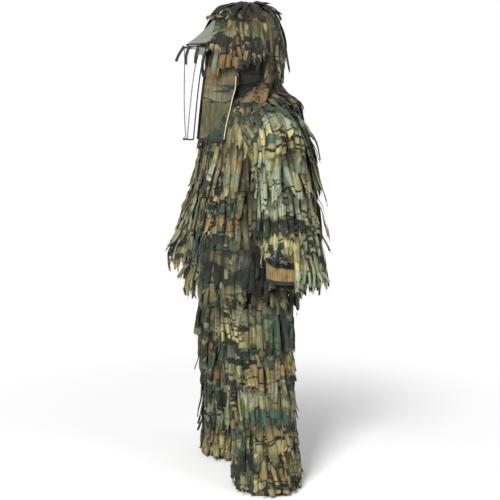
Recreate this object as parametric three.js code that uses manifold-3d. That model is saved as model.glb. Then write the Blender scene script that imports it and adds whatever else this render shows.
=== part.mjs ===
// A two-piece ghillie suit holding its worn shape: a hooded jacket with a sheer face veil,
// and trousers. Every outer surface carries rows of fabric strips, modelled here as stepped
// fringe layers over thin base panels. Millimetres, +Z up, the front faces -Y, wearer's left is +X.
import * as THREE from "three";
import { mergeVertices } from "three/addons/utils/BufferGeometryUtils.js";
import Module from "manifold-3d";

const wasm = await Module();
wasm.setup();

// Driving dimensions. Heights are measured from the bottom of the trouser hems.
const WAIST_HEIGHT = 1020;
const CLOTH = 3;
const SEAM_GAP = 0.5;
const LAYER_GAP = 2.4;
const SLEEVE_GAP = 5.5;
const FRINGE_MIN = 3;
const FRINGE_MAX = 14;
const STEP = 1.5;

// Torso sections of the jacket: height, half-width, front depth, back depth.
const TORSO = [
  [790, 222, 206, 188],
  [1060, 200, 180, 176],
  [1280, 190, 159, 178],
  [1330, 200, 154, 180],
  [1420, 201, 146, 176],
  [1455, 200, 124, 160],
  [1475, 172, 106, 136],
  [1492, 128, 96, 108],
  [1503, 96, 92, 92],
];
const TORSO_POWER = 2.7;
const JACKET_ROWS = [790, 850, 960, 1085, 1225, 1350, 1470];
const ZIP_SLOPE = 0.095;
const ZIP_TOP = 1420;
const ZIP_BOTTOM = 845;
const ZIP_TOP_DEPTH = 146;

// Sleeves: armhole centre, bend, and straight run to the cuff.
const ARMHOLE_X = 203;
const ARMHOLE_Y = 25;
const ARMHOLE_Z = 1385;
const ARMHOLE_RADIUS = 66;
const SLEEVE_BEND = 85;
const BEND_LENGTH = (SLEEVE_BEND * Math.PI) / 2;
const BEND_Z = ARMHOLE_Z - SLEEVE_BEND;
const SLEEVE = [
  [1300, 288, 78],
  [1090, 306, 80],
  [960, 317, 82],
  [850, 326, 83],
];
const SLEEVE_BOTTOM = 850;
const CUFF = 12;
const SLEEVE_FRINGE_START = 24;
const SLEEVE_ROWS = [940, 1075, 1235];
const ELBOW_Z = 1090;
const ELBOW_BEND = 50;
const ARM_SWAY = {
  left: [[1300, 56], [1090, 76], [850, 84]],
  right: [[1300, -26], [1090, -80], [850, -150]],
};

// Trousers: height, section centre, half-width, half-depth of one leg. Above the crotch the
// two sections merge into the seat.
const CROTCH_Z = 800;
const TROUSERS = [
  [31, 193, 105, 112],
  [300, 160, 94, 110],
  [500, 135, 92, 124],
  [700, 110, 96, 138],
  [CROTCH_Z, 98, 98, 140],
  [840, 60, 132, 138],
  [880, 18, 166, 136],
  [920, 0, 176, 132],
  [1003, 0, 158, 120],
];
const LEG_SWAY = { left: [[0, 42], [800, 0]], right: [[0, -10], [500, -28], [800, 0]] };
const LEG_ROWS = [34, 120, 225, 335, 460, 590];
const FRINGE_TOP = 700;
const HEM_BAND = 30;
const KNEE_Z = 500;
const KNEE_BEND = 40;

// Hood sections: height, half-width, front depth, back depth.
const HOOD = [
  [1557, 101, 116, 112],
  [1620, 109, 131, 122],
  [1690, 112, 140, 126],
  [1745, 108, 137, 122],
  [1790, 96, 121, 110],
  [1822, 76, 96, 90],
  [1840, 46, 58, 56],
  [1848, 0, 0, 0],
];
const HOOD_ROWS = [1557, 1650, 1745];
const FACE_TOP = 1700;
const FACE_Y = -80;
const GUSSET = 42;
const FLAP_TOP = 1686;
const FLAP_BOTTOM = 1345;
const FLAP_HEM = 12;
const RIM_Z = 1706;
const BROW_Z = 1796;
const BROW_DROP = 40;
const BROW_GAP = 10;
const VEIL_TOP = 1697;
const VEIL_BOTTOM = 1345;
const RIM_HALF = 88;
const VEIL_HALF = 66;
const VEIL_TUCK = 14;
const VEIL_SEAM = 0.04;

// Colours, linear enough for a plain model: base camouflage tone, fringe tones, trims.
const LOOKS = {
  cloth: [0x6d6749, 0.95, 0],
  fringe: [0x60604a, 1, 0],
  fringe_sage: [0x6c6d58, 1, 0],
  trim: [0x1c1c18, 0.9, 0],
  mesh: [0xa9aa98, 0.9, 0],
  flap: [0x6d674b, 0.9, 0],
  elastic: [0x26261f, 0.95, 0],
  plastic: [0x1d1e1b, 0.5, 0],
  metal: [0x2a2a28, 0.45, 0.6],
};

const suit = new THREE.Group();
suit.position.z = -WAIST_HEIGHT;

// ---------------------------------------------------------------- helpers

function lookup(rows, z) {
  const up = rows[0][0] < rows[rows.length - 1][0];
  const list = up ? rows : [...rows].reverse();
  if (z <= list[0][0]) return list[0].slice(1);
  for (let i = 1; i < list.length; i++) {
    if (z <= list[i][0]) {
      const t = (z - list[i - 1][0]) / (list[i][0] - list[i - 1][0]);
      return list[i].slice(1).map((b, k) => list[i - 1][k + 1] * (1 - t) + b * t);
    }
  }
  return list[list.length - 1].slice(1);
}

const lerp = (a, b, t) => a + (b - a) * t;
const rad = THREE.MathUtils.degToRad;

// Values from a to b, both included, no further apart than the step.
function spread(a, b, step) {
  const n = Math.max(1, Math.round(Math.abs(b - a) / step));
  return Array.from({ length: n + 1 }, (_, i) => lerp(a, b, i / n));
}

function solidOf(geometry) {
  const bare = geometry.clone();
  bare.deleteAttribute("normal");
  bare.deleteAttribute("uv");
  const merged = mergeVertices(bare, 1e-3);
  const source = merged.index.array;
  const tris = [];
  for (let i = 0; i < source.length; i += 3) {
    const [a, b, c] = [source[i], source[i + 1], source[i + 2]];
    if (a !== b && b !== c && c !== a) tris.push(a, b, c);
  }
  return new wasm.Manifold(
    new wasm.Mesh({
      numProp: 3,
      vertProperties: new Float32Array(merged.attributes.position.array),
      triVerts: new Uint32Array(tris),
    }),
  );
}

function geometryOf(solid) {
  const mesh = solid.getMesh();
  const geometry = new THREE.BufferGeometry();
  geometry.setAttribute("position", new THREE.BufferAttribute(mesh.vertProperties, 3));
  geometry.setIndex(new THREE.BufferAttribute(mesh.triVerts, 1));
  return geometry;
}

function block(x0, x1, y0, y1, z0, z1) {
  const box = new THREE.BoxGeometry(x1 - x0, y1 - y0, z1 - z0);
  box.translate((x0 + x1) / 2, (y0 + y1) / 2, (z0 + z1) / 2);
  return solidOf(box);
}

// The half-space on the side that the normal, in the YZ plane, points to.
function halfSpace(y, z, normalAngle) {
  const big = 4000;
  const box = new THREE.BoxGeometry(big, big, big);
  box.translate(0, 0, big / 2);
  box.rotateX(normalAngle);
  box.translate(0, y, z);
  return solidOf(box);
}

// A closed thin shell. surface(u, v) gives a point; inner and outer give offsets along the
// surface normal, which flip turns round on mirrored surfaces; a closed shell joins its last
// column to its first.
function shell(surface, us, vs, inner, outer, { closed = false, flip = false } = {}) {
  const eps = 0.01;
  const normalAt = (u, v) => {
    const du = surface(u + eps, v).sub(surface(u - eps, v));
    const dv = surface(u, v + eps).sub(surface(u, v - eps));
    const n = du.cross(dv);
    if (n.length() < 1e-9) return new THREE.Vector3(0, 0, 1);
    return n.normalize().multiplyScalar(flip ? -1 : 1);
  };
  const points = [];
  for (const offset of [outer, inner]) {
    for (const v of vs) {
      for (const u of us) {
        points.push(surface(u, v).addScaledVector(normalAt(u, v), offset(u, v)));
      }
    }
  }
  const nu = us.length;
  const nv = vs.length;
  const at = (side, i, j) => side * nu * nv + j * nu + (i % nu);
  const tris = [];
  const quad = (a, b, c, d) => tris.push(a, b, c, a, c, d);
  const columns = closed ? nu : nu - 1;
  for (let j = 0; j + 1 < nv; j++) {
    for (let i = 0; i < columns; i++) {
      quad(at(0, i, j), at(0, i + 1, j), at(0, i + 1, j + 1), at(0, i, j + 1));
      quad(at(1, i, j), at(1, i, j + 1), at(1, i + 1, j + 1), at(1, i + 1, j));
    }
    if (!closed) {
      quad(at(0, 0, j), at(0, 0, j + 1), at(1, 0, j + 1), at(1, 0, j));
      quad(at(0, nu - 1, j), at(1, nu - 1, j), at(1, nu - 1, j + 1), at(0, nu - 1, j + 1));
    }
  }
  for (let i = 0; i < columns; i++) {
    quad(at(0, i, 0), at(1, i, 0), at(1, i + 1, 0), at(0, i + 1, 0));
    quad(at(0, i, nv - 1), at(0, i + 1, nv - 1), at(1, i + 1, nv - 1), at(1, i, nv - 1));
  }
  const build = (order) => {
    const geometry = new THREE.BufferGeometry();
    geometry.setAttribute(
      "position",
      new THREE.BufferAttribute(new Float32Array(points.flatMap((p) => p.toArray())), 3),
    );
    geometry.setIndex(order);
    return geometry;
  };
  const solid = solidOf(build(tris));
  if (solid.volume() > 0) return solid;
  const flipped = [];
  for (let i = 0; i < tris.length; i += 3) flipped.push(tris[i], tris[i + 2], tris[i + 1]);
  return solidOf(build(flipped));
}

const constant = (value) => () => value;

// Thickness of a fringe layer: thin under the row above, thick at each row's ragged edge.
function fringeDepth(rows, top) {
  const edges = [...rows].sort((a, b) => a - b).concat(top);
  return (u, v) => {
    for (let i = 0; i + 1 < edges.length; i++) {
      if (v < edges[i + 1]) {
        const t = THREE.MathUtils.clamp((v - edges[i]) / (edges[i + 1] - edges[i]), 0, 1);
        return LAYER_GAP + lerp(FRINGE_MAX, FRINGE_MIN, t);
      }
    }
    return LAYER_GAP + FRINGE_MIN;
  };
}

// Heights at which a fringe layer is sampled: each row's edge twice, to make its step, and
// the heights of the cloth under it.
function fringeHeights(rows, top, base) {
  const edges = [...rows].sort((a, b) => a - b);
  const heights = [edges[0], top];
  edges.slice(1).forEach((z) => heights.push(z - STEP, z));
  const clear = (z) => z > edges[0] && z < top && heights.every((h) => Math.abs(h - z) > 6);
  return heights.concat(base.filter(clear)).sort((a, b) => a - b);
}

function add(name, solid, look) {
  const [color, roughness, metalness] = LOOKS[look];
  const material = new THREE.MeshStandardMaterial({ color, roughness, metalness });
  const mesh = new THREE.Mesh(geometryOf(solid), material);
  mesh.name = name;
  suit.add(mesh);
  return mesh;
}

function superPoint(angle, rx, ry, power) {
  const c = Math.cos(angle);
  const s = Math.sin(angle);
  return [
    Math.sign(c) * rx * Math.abs(c) ** (2 / power),
    Math.sign(s) * ry * Math.abs(s) ** (2 / power),
  ];
}

const ring = (count) => Array.from({ length: count }, (_, i) => (i / count) * 2 * Math.PI);

// ---------------------------------------------------------------- trousers

// One leg's surface: u = 0 is the outer side seam, u = +/-1 the centre seam or the inseam.
function legSurface(side) {
  const sign = side === "left" ? 1 : -1;
  return (u, z) => {
    const [cx, rx, ry] = lookup(TROUSERS, z);
    const [cy] = lookup(LEG_SWAY[side], z);
    const reach = Math.PI / 2 + Math.asin(THREE.MathUtils.clamp(cx / rx, 0, 1));
    const a = u * reach;
    return new THREE.Vector3(sign * (SEAM_GAP + cx + rx * Math.cos(a)), cy + ry * Math.sin(a), z);
  };
}

function buildLeg(side) {
  const surface = legSurface(side);
  const mirrored = { flip: side === "right" };
  const [kneeY] = lookup(LEG_SWAY[side], KNEE_Z);
  const bevel = rad(KNEE_BEND / 2 + 1.5);
  const gap = 1.5;
  const thigh = (solid) =>
    solid
      .intersect(halfSpace(kneeY, KNEE_Z + gap, 0))
      .intersect(halfSpace(kneeY, KNEE_Z + gap, bevel));
  const shin = (solid) =>
    solid
      .intersect(halfSpace(kneeY, KNEE_Z - gap, Math.PI))
      .intersect(halfSpace(kneeY, KNEE_Z - gap, Math.PI - bevel));
  const edge = 0.0035;
  const heights = [1003, 920, 880, 840, CROTCH_Z, 700, KNEE_Z, 300, HEM_BAND + 0.5];
  const count = 8;
  for (const [face, dir] of [["front", -1], ["back", 1]]) {
    const us = Array.from({ length: count + 1 }, (_, i) => dir * lerp(edge, 1 - edge, i / count));
    const panel = shell(surface, us, heights, constant(-CLOTH), constant(0), mirrored);
    add(`${side}_thigh_${face}`, thigh(panel), "cloth");
    add(`${side}_shin_${face}`, shin(panel), "cloth");
  }
  const wrap = Array.from({ length: 13 }, (_, i) => lerp(-0.75, 0.75, i / 12));
  const zs = fringeHeights(LEG_ROWS, FRINGE_TOP, heights);
  const depth = fringeDepth(LEG_ROWS, FRINGE_TOP);
  const layer = shell(surface, wrap, zs, constant(LAYER_GAP), depth, mirrored);
  add(`${side}_thigh_fringe`, thigh(layer), "fringe");
  add(`${side}_shin_fringe`, shin(layer), "fringe");

  // A flat-bottomed hem band closes each leg.
  const hemRing = (u, z) => {
    const [cx, rx, ry] = lookup(TROUSERS, HEM_BAND);
    const [cy] = lookup(LEG_SWAY[side], HEM_BAND);
    const sign = side === "left" ? 1 : -1;
    return new THREE.Vector3(sign * (cx + rx * Math.cos(u)), cy + ry * Math.sin(u), z);
  };
  const around = { closed: true, flip: side === "right" };
  add(`${side}_hem_band`, shell(hemRing, ring(20), [0, HEM_BAND], constant(-6), constant(1), around), "cloth");
}

// The waistband is a folded channel, open below, with the elastic inside it.
function buildWaist() {
  const outer = (grow) => (u, z) =>
    new THREE.Vector3((158 + grow) * Math.cos(u), (120 + grow) * Math.sin(u), z);
  const us = ring(24);
  const base = 1003 + SEAM_GAP;
  const body = shell(outer(0), us, [base, 1040], constant(-8), constant(0), { closed: true });
  const slot = shell(outer(0), us, [base - 5, 1037.5], constant(-6), constant(-2), { closed: true });
  add("waistband", body.subtract(slot), "cloth");
  const elastic = shell(outer(0), us, [base + 2, 1036], constant(-5.4), constant(-2.6), { closed: true });
  add("waist_elastic", elastic, "elastic");
}

// ---------------------------------------------------------------- jacket

function torsoSurface(u, z) {
  const [rx, front, back] = lookup(TORSO, z);
  const [x, y] = superPoint(u, rx, Math.sin(u) < 0 ? front : back, TORSO_POWER);
  return new THREE.Vector3(x, y, z);
}

function armholes() {
  const cylinder = new THREE.CylinderGeometry(ARMHOLE_RADIUS, ARMHOLE_RADIUS, 600, 24);
  cylinder.rotateZ(Math.PI / 2);
  cylinder.translate(0, ARMHOLE_Y, ARMHOLE_Z);
  return solidOf(cylinder).subtract(block(-150, 150, -200, 200, 1200, 1600));
}

function buildJacketBody() {
  const us = ring(24);
  const heights = TORSO.map((row) => row[0]);
  const tube = shell(torsoSurface, us, heights, constant(-CLOTH), constant(0), { closed: true }).subtract(armholes());
  const half = SEAM_GAP / 2;
  const zipEdge = 12;
  add("jacket_back", tube.intersect(block(-500, 500, half, 500, 0, 2000)), "cloth");
  add("jacket_front_left", tube.intersect(block(zipEdge, 500, -500, -half, 0, 2000)), "cloth");
  add("jacket_front_right", tube.intersect(block(-500, -zipEdge, -500, -half, 0, 2000)), "cloth");

  const top = 1470;
  const depth = fringeDepth(JACKET_ROWS.slice(0, -1), top);
  const zs = fringeHeights(JACKET_ROWS.slice(0, -1), top, heights);
  const layer = shell(torsoSurface, us, zs, constant(LAYER_GAP), depth, { closed: true });
  const lane = 26;
  const sideGap = 45;
  const shoulderLine = 197;
  const clear = block(shoulderLine, 500, -500, 500, 1240, 2000).add(
    block(-500, -shoulderLine, -500, 500, 1240, 2000),
  );
  const rows = layer.subtract(clear);
  add("jacket_fringe_left", rows.intersect(block(lane, 500, -500, -sideGap, 0, 2000)), "fringe");
  add("jacket_fringe_right", rows.intersect(block(-500, -lane, -500, -sideGap, 0, 2000)), "fringe");
  add("jacket_fringe_back", rows.intersect(block(-500, 500, sideGap, 500, 0, 2000)), "fringe");

  const band = (u, z) => {
    const t = (z - 1503) / 42;
    return new THREE.Vector3(lerp(96, 90, t) * Math.cos(u), lerp(92, 88, t) * Math.sin(u), z);
  };
  const neck = shell(band, ring(24), [1503 + SEAM_GAP, 1545], constant(-CLOTH), constant(0), { closed: true });
  add("neck_band", neck, "cloth");

  // A small loop inside the back of the neck for hanging the jacket up.
  const loopBar = block(-28, 28, 78, 80, 1508, 1514);
  const ends = block(-28, -22, 78, 83, 1508, 1514).add(block(22, 28, 78, 83, 1508, 1514));
  add("hanger_loop", loopBar.add(ends), "trim");
}

// ---------------------------------------------------------------- centre-front zip

function zipPoint(z) {
  return new THREE.Vector3(0, -(ZIP_TOP_DEPTH + (ZIP_TOP - z) * ZIP_SLOPE) + CLOTH / 2, z);
}

function placeOnZip(mesh, z) {
  mesh.position.copy(zipPoint(z));
  mesh.rotation.x = -Math.atan(ZIP_SLOPE);
}

function buildZip() {
  const long = (ZIP_TOP - ZIP_BOTTOM) * Math.hypot(1, ZIP_SLOPE);
  const half = long / 2;
  for (const [side, s] of [["left", 1], ["right", -1]]) {
    const tape = block(Math.min(s, s * 11), Math.max(s, s * 11), -1, 1, -half, half);
    const coil = block(Math.min(s, s * 4), Math.max(s, s * 4), -1.8, 1.8, -half, half);
    placeOnZip(add(`zip_tape_${side}`, tape.add(coil), "trim"), (ZIP_TOP + ZIP_BOTTOM) / 2);
  }
  placeOnZip(add("zip_retainer_box", block(-6, 6, -3, 3, -6, 6), "metal"), ZIP_BOTTOM - 7);

  // The slider: two plates joined by a web between the tapes, with an arch for the pull tab.
  const plateFront = block(-7, 7, -4.6, -2.4, -8, 8);
  const plateBack = block(-7, 7, 2.4, 4.2, -8, 8);
  const web = block(-0.5, 0.5, -3, 3, 2, 7);
  const arch = block(-1.5, 1.5, -10.1, -4, -4.7, 4.7).subtract(block(-3, 3, -8.6, -4.6, -3.2, 3.2));
  placeOnZip(add("zip_slider", plateFront.add(plateBack).add(web).add(arch), "metal"), ZIP_TOP - 25);

  const tab = block(-4, 4, -0.8, 0.8, -34, 0.9).subtract(block(-2.3, 2.3, -3, 3, -7.2, -0.9));
  const grip = block(-4, 4, -1.4, 1.4, -34, -16).subtract(block(-1.6, 1.6, -5, 5, -31, -26));
  const pull = add("zip_pull_tab", tab.subtract(block(-1.6, 1.6, -5, 5, -31, -26)).add(grip), "plastic");
  placeOnZip(pull, ZIP_TOP - 25);
  pull.geometry.translate(0, -6.6, 0);
}

// ---------------------------------------------------------------- sleeves

// v is the distance along the sleeve from the armhole, u the angle from its outer side.
function sleeveSurface(side) {
  const sign = side === "left" ? 1 : -1;
  return (u, v) => {
    const cos = Math.cos(u);
    const sin = Math.sin(u);
    if (v < BEND_LENGTH) {
      const phi = v / SLEEVE_BEND;
      const r = SLEEVE_BEND + SLEEVE[0][2] * cos;
      const x = ARMHOLE_X + r * Math.sin(phi);
      const [swing] = lookup(ARM_SWAY[side], BEND_Z);
      const y = lerp(ARMHOLE_Y, swing, Math.sin(phi) ** 2) + SLEEVE[0][2] * sin;
      return new THREE.Vector3(sign * x, y, BEND_Z + r * Math.cos(phi));
    }
    const z = BEND_Z - (v - BEND_LENGTH);
    const [cx, r] = lookup(SLEEVE, z);
    const [cy] = lookup(ARM_SWAY[side], z);
    return new THREE.Vector3(sign * (cx + r * cos), cy + r * sin, z);
  };
}

const along = (z) => BEND_LENGTH + BEND_Z - z;

function buildSleeve(side) {
  const surface = sleeveSurface(side);
  const [elbowY] = lookup(ARM_SWAY[side], ELBOW_Z);
  const bevel = rad(ELBOW_BEND / 2 + 1.5);
  const gap = 1.5;
  const upper = (solid) =>
    solid
      .intersect(halfSpace(elbowY, ELBOW_Z + gap, 0))
      .intersect(halfSpace(elbowY, ELBOW_Z + gap, -bevel));
  const lower = (solid) =>
    solid
      .intersect(halfSpace(elbowY, ELBOW_Z - gap, Math.PI))
      .intersect(halfSpace(elbowY, ELBOW_Z - gap, Math.PI + bevel));
  const bend = [0, SLEEVE_FRINGE_START, 60, 96, BEND_LENGTH];
  const vs = bend.concat([ELBOW_Z, 960, SLEEVE_BOTTOM].map(along));
  const around = { closed: true, flip: side === "left" };
  const tube = shell(surface, ring(16), vs, constant(-CLOTH), constant(0), around);
  add(`${side}_upper_sleeve`, upper(tube), "cloth");
  add(`${side}_lower_sleeve`, lower(tube), "cloth");

  // The fringe wraps the outer side of the shoulder and all but the inner side of the arm.
  const rows = SLEEVE_ROWS.map((z) => -along(z));
  const top = -SLEEVE_FRINGE_START;
  const depth = fringeDepth(rows, top);
  const edges = fringeHeights(rows, top, vs.map((v) => -v));
  const wrap = Array.from({ length: 13 }, (_, i) => rad(22.5) * (i - 6));
  const layer = shell(
    surface,
    wrap,
    edges.map((v) => -v),
    constant(SLEEVE_GAP),
    (u, v) => depth(u, -v) + SLEEVE_GAP - LAYER_GAP,
    { flip: side === "left" },
  );
  add(`${side}_upper_sleeve_fringe`, upper(layer), "fringe_sage");
  add(`${side}_lower_sleeve_fringe`, lower(layer), "fringe_sage");

  const cuffTop = SLEEVE_BOTTOM - SEAM_GAP;
  const cuffSpan = [along(cuffTop), along(cuffTop - CUFF)];
  const cuff = shell(surface, ring(16), cuffSpan, constant(-5), constant(1), around);
  add(`${side}_cuff_elastic`, cuff, "trim");
}

// ---------------------------------------------------------------- hood

function hoodSurface(u, z) {
  const [rx, front, back] = lookup(HOOD, z);
  const [x, y] = superPoint(u, rx, Math.sin(u) < 0 ? front : back, 2.15);
  return new THREE.Vector3(x, y, z);
}

function buildHood() {
  const us = ring(20);
  const heights = HOOD.map((row) => row[0]);
  const face = block(-300, 300, -400, FACE_Y, 1500, FACE_TOP);
  const dome = shell(hoodSurface, us, heights, constant(-CLOTH), constant(0), { closed: true }).subtract(face);
  const half = SEAM_GAP / 2;
  add("hood_crown", dome.intersect(block(-GUSSET + half, GUSSET - half, -500, 500, 1500, 2000)), "cloth");
  add("hood_left", dome.intersect(block(GUSSET + half, 500, -500, 500, 1500, 2000)), "cloth");
  add("hood_right", dome.intersect(block(-500, -GUSSET - half, -500, 500, 1500, 2000)), "cloth");

  const zs = fringeHeights(HOOD_ROWS, 1848, heights);
  const depth = fringeDepth(HOOD_ROWS, 1849);
  const clear = block(-300, 300, -400, FACE_Y + 22, 1500, BROW_Z + 18);
  const layer = shell(hoodSurface, us, zs, constant(LAYER_GAP), depth, { closed: true }).subtract(clear);
  add("hood_fringe_left", layer.intersect(block(half, 500, -500, 500, 1500, 2000)), "fringe");
  add("hood_fringe_right", layer.intersect(block(-500, -half, -500, 500, 1500, 2000)), "fringe");
}

// The sheer visor slants forward from the brow to a stiffened rim.
const VISOR_ANGLE = rad(50);

function visorSurface(u, v) {
  const brow = hoodSurface(u * VISOR_ANGLE - Math.PI / 2, BROW_Z - BROW_DROP * u * u);
  const grow = 1 + BROW_GAP / Math.hypot(brow.x, brow.y);
  brow.set(brow.x * grow, brow.y * grow, brow.z);
  return brow.lerp(rimPoint(u, RIM_Z), v);
}

function rimPoint(u, z) {
  return new THREE.Vector3(RIM_HALF * u, -232 + 60 * u * u, z);
}

function buildVisor() {
  const us = spread(-1, 1, 0.2);
  add("visor", shell(visorSurface, us, [0, 0.5, 1], constant(0), constant(1.2)), "mesh");
  add("visor_binding", shell(rimPoint, us, [RIM_Z - 5, RIM_Z - 1.2], constant(-1.5), constant(1.5)), "trim");
}

// Front edge of the veil's sides, which the cheek flaps stop behind.
function veilSideY(z) {
  return lookup([[1300, -240], [1600, -204], [1690, -182]], z)[0];
}

// Rear edge of a cheek flap: height, x and y. It spreads over the front of the shoulder.
const FLAP_EDGE = [
  [1345, 178, -131],
  [1400, 177, -121],
  [1450, 172, -108],
  [1500, 138, -88],
  [1557, 110, -68],
  [1690, 113, -62],
];
const FLAP_FRONT_X = 72;

function flapSurface(side) {
  const sign = side === "left" ? 1 : -1;
  return (u, z) => {
    const [x, back] = lookup(FLAP_EDGE, z);
    return new THREE.Vector3(sign * lerp(x, FLAP_FRONT_X, u), lerp(back, veilSideY(z) + 9, u), z);
  };
}

function buildFlap(side) {
  const surface = flapSurface(side);
  const us = spread(0, 1, 0.25);
  const body = [FLAP_TOP, 1557, 1500, 1450, 1400, FLAP_BOTTOM + FLAP_HEM + SEAM_GAP];
  add(`${side}_cheek_flap`, shell(surface, us, body, constant(-1), constant(1)), "flap");
  add(
    `${side}_flap_hem`,
    shell(surface, us, [FLAP_BOTTOM + FLAP_HEM, FLAP_BOTTOM], constant(-1.6), constant(1.6)),
    "trim",
  );
}

function veilSurface(u, z) {
  const [front] = lookup([[1345, -248], [1500, -253], [1650, -250], [1697, -240]], z);
  const y = lerp(front, veilSideY(z) + VEIL_TUCK, u * u);
  return new THREE.Vector3(VEIL_HALF * u, y, z);
}

function buildVeil() {
  const edge = 0.955;
  const us = spread(-edge, edge, 0.24);
  const body = [VEIL_TOP - 7, 1650, 1600, 1500, 1400, VEIL_BOTTOM + 8];
  add("veil_mesh", shell(veilSurface, us, body, constant(-0.6), constant(0.6)), "mesh");
  const across = spread(-1, 1, 0.25);
  const bind = [constant(-1.5), constant(1.5)];
  add("veil_top_binding", shell(veilSurface, across, [VEIL_TOP - 6.5, VEIL_TOP], ...bind), "trim");
  add("veil_hem_binding", shell(veilSurface, across, [VEIL_BOTTOM, VEIL_BOTTOM + 7.5], ...bind), "trim");
  for (const [side, s] of [["left", 1], ["right", -1]]) {
    const us2 = [s * (edge + 0.006), s];
    add(`veil_${side}_edge`, shell(veilSurface, us2, body, ...bind), "trim");
  }
  const middle = [-VEIL_SEAM, VEIL_SEAM];
  add("veil_centre_binding", shell(veilSurface, middle, body, constant(1), constant(2.4)), "trim");
  const ribbons = [["veil_ribbon_1", 0.16, 1634], ["veil_ribbon_2", 0.5, 1628], ["veil_ribbon_3", 0.82, 1632]];
  for (const [name, u, low] of ribbons) {
    const span = [u - 0.08, u + 0.08];
    add(name, shell(veilSurface, span, [VEIL_TOP - 1, 1670, low], constant(4.6), constant(6)), "trim");
  }
}

buildWaist();
buildLeg("left");
buildLeg("right");
buildJacketBody();
buildZip();
buildSleeve("left");
buildSleeve("right");
buildHood();
buildVisor();
buildFlap("left");
buildFlap("right");
buildVeil();

export default suit;
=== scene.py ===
"""A two-piece ghillie suit in its worn shape: cloth shells, hanging strips, hood, visor, flaps and veil.

Metres, +Z up, front -Y, wearer's left +X. Heights called h are above the hems; the frame's origin is at
the waistband, WAIST above the hems.
"""
import math
import bmesh
import bpy
import numpy as np
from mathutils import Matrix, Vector, noise


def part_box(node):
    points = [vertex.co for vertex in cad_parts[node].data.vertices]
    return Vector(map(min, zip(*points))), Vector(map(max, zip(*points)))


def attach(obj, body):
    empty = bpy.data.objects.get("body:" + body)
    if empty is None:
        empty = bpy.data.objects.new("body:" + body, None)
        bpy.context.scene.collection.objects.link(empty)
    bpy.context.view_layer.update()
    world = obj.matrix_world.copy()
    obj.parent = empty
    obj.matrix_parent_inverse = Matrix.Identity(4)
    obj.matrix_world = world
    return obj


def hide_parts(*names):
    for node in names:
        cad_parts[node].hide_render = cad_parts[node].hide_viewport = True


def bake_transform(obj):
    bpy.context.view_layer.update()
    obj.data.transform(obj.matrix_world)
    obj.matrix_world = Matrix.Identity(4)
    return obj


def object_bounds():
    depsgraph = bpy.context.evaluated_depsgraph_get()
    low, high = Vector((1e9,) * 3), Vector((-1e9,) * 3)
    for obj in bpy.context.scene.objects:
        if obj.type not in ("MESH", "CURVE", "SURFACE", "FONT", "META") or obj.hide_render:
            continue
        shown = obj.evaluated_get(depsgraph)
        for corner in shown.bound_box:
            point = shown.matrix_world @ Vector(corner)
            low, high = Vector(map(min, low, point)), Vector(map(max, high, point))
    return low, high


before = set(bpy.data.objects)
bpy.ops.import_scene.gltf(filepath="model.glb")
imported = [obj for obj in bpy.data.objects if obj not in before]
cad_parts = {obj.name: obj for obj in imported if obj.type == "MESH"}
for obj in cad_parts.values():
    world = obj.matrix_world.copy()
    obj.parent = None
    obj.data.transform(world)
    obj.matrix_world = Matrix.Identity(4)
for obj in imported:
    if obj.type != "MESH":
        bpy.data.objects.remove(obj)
cad_box = [list(map(float, c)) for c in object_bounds()]

WAIST = 1.02
GAP = 0.0005
pi, half_pi = math.pi, math.pi / 2
rng = np.random.default_rng(41)

# Section tables, the same as the CAD's: height, half-width, front depth, back depth.
TORSO = [
    (0.790, 0.222, 0.206, 0.188), (1.060, 0.200, 0.180, 0.176), (1.280, 0.190, 0.159, 0.178),
    (1.330, 0.200, 0.154, 0.180), (1.420, 0.201, 0.146, 0.176), (1.455, 0.200, 0.124, 0.160),
    (1.475, 0.172, 0.106, 0.136), (1.492, 0.128, 0.096, 0.108), (1.503, 0.096, 0.092, 0.092),
]
HOOD = [
    (1.557, 0.101, 0.116, 0.112), (1.620, 0.109, 0.131, 0.122), (1.690, 0.112, 0.140, 0.126),
    (1.745, 0.108, 0.137, 0.122), (1.790, 0.096, 0.121, 0.110), (1.822, 0.076, 0.096, 0.090),
    (1.840, 0.046, 0.058, 0.056), (1.848, 0.0005, 0.0005, 0.0005),
]
LEG = [  # height, centre x, half-width, half-depth
    (0.000, 0.193, 0.105, 0.112), (0.300, 0.160, 0.094, 0.110), (0.500, 0.135, 0.092, 0.124),
    (0.700, 0.110, 0.096, 0.138), (0.800, 0.098, 0.098, 0.140), (0.840, 0.060, 0.132, 0.138),
    (0.880, 0.018, 0.166, 0.136), (0.920, 0.000, 0.176, 0.132), (1.003, 0.000, 0.158, 0.120),
]
LEG_SWAY = {"left": ((0, 0.8), (0.042, 0)), "right": ((0, 0.5, 0.8), (-0.010, -0.028, 0))}
SLEEVE_END = 0.850
SLEEVE = [(SLEEVE_END, 0.326, 0.083), (0.960, 0.317, 0.082), (1.090, 0.306, 0.080), (1.300, 0.288, 0.078)]
ARM_SWAY = {
    "left": [(SLEEVE_END, 0.084), (1.090, 0.076), (1.300, 0.056)],
    "right": [(SLEEVE_END, -0.150), (1.090, -0.080), (1.300, -0.026)],
}
ARMHOLE_X, ARMHOLE_Y, ARMHOLE_H, ARMHOLE_R = 0.203, 0.025, 1.385, 0.064
BEND, BEND_H = 0.085, 1.300
BEND_LENGTH = BEND * pi / 2
SIDES = (("left", 1.0), ("right", -1.0))
steps = np.linspace


# ------------------------------------------------------------------ curves and surfaces

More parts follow.
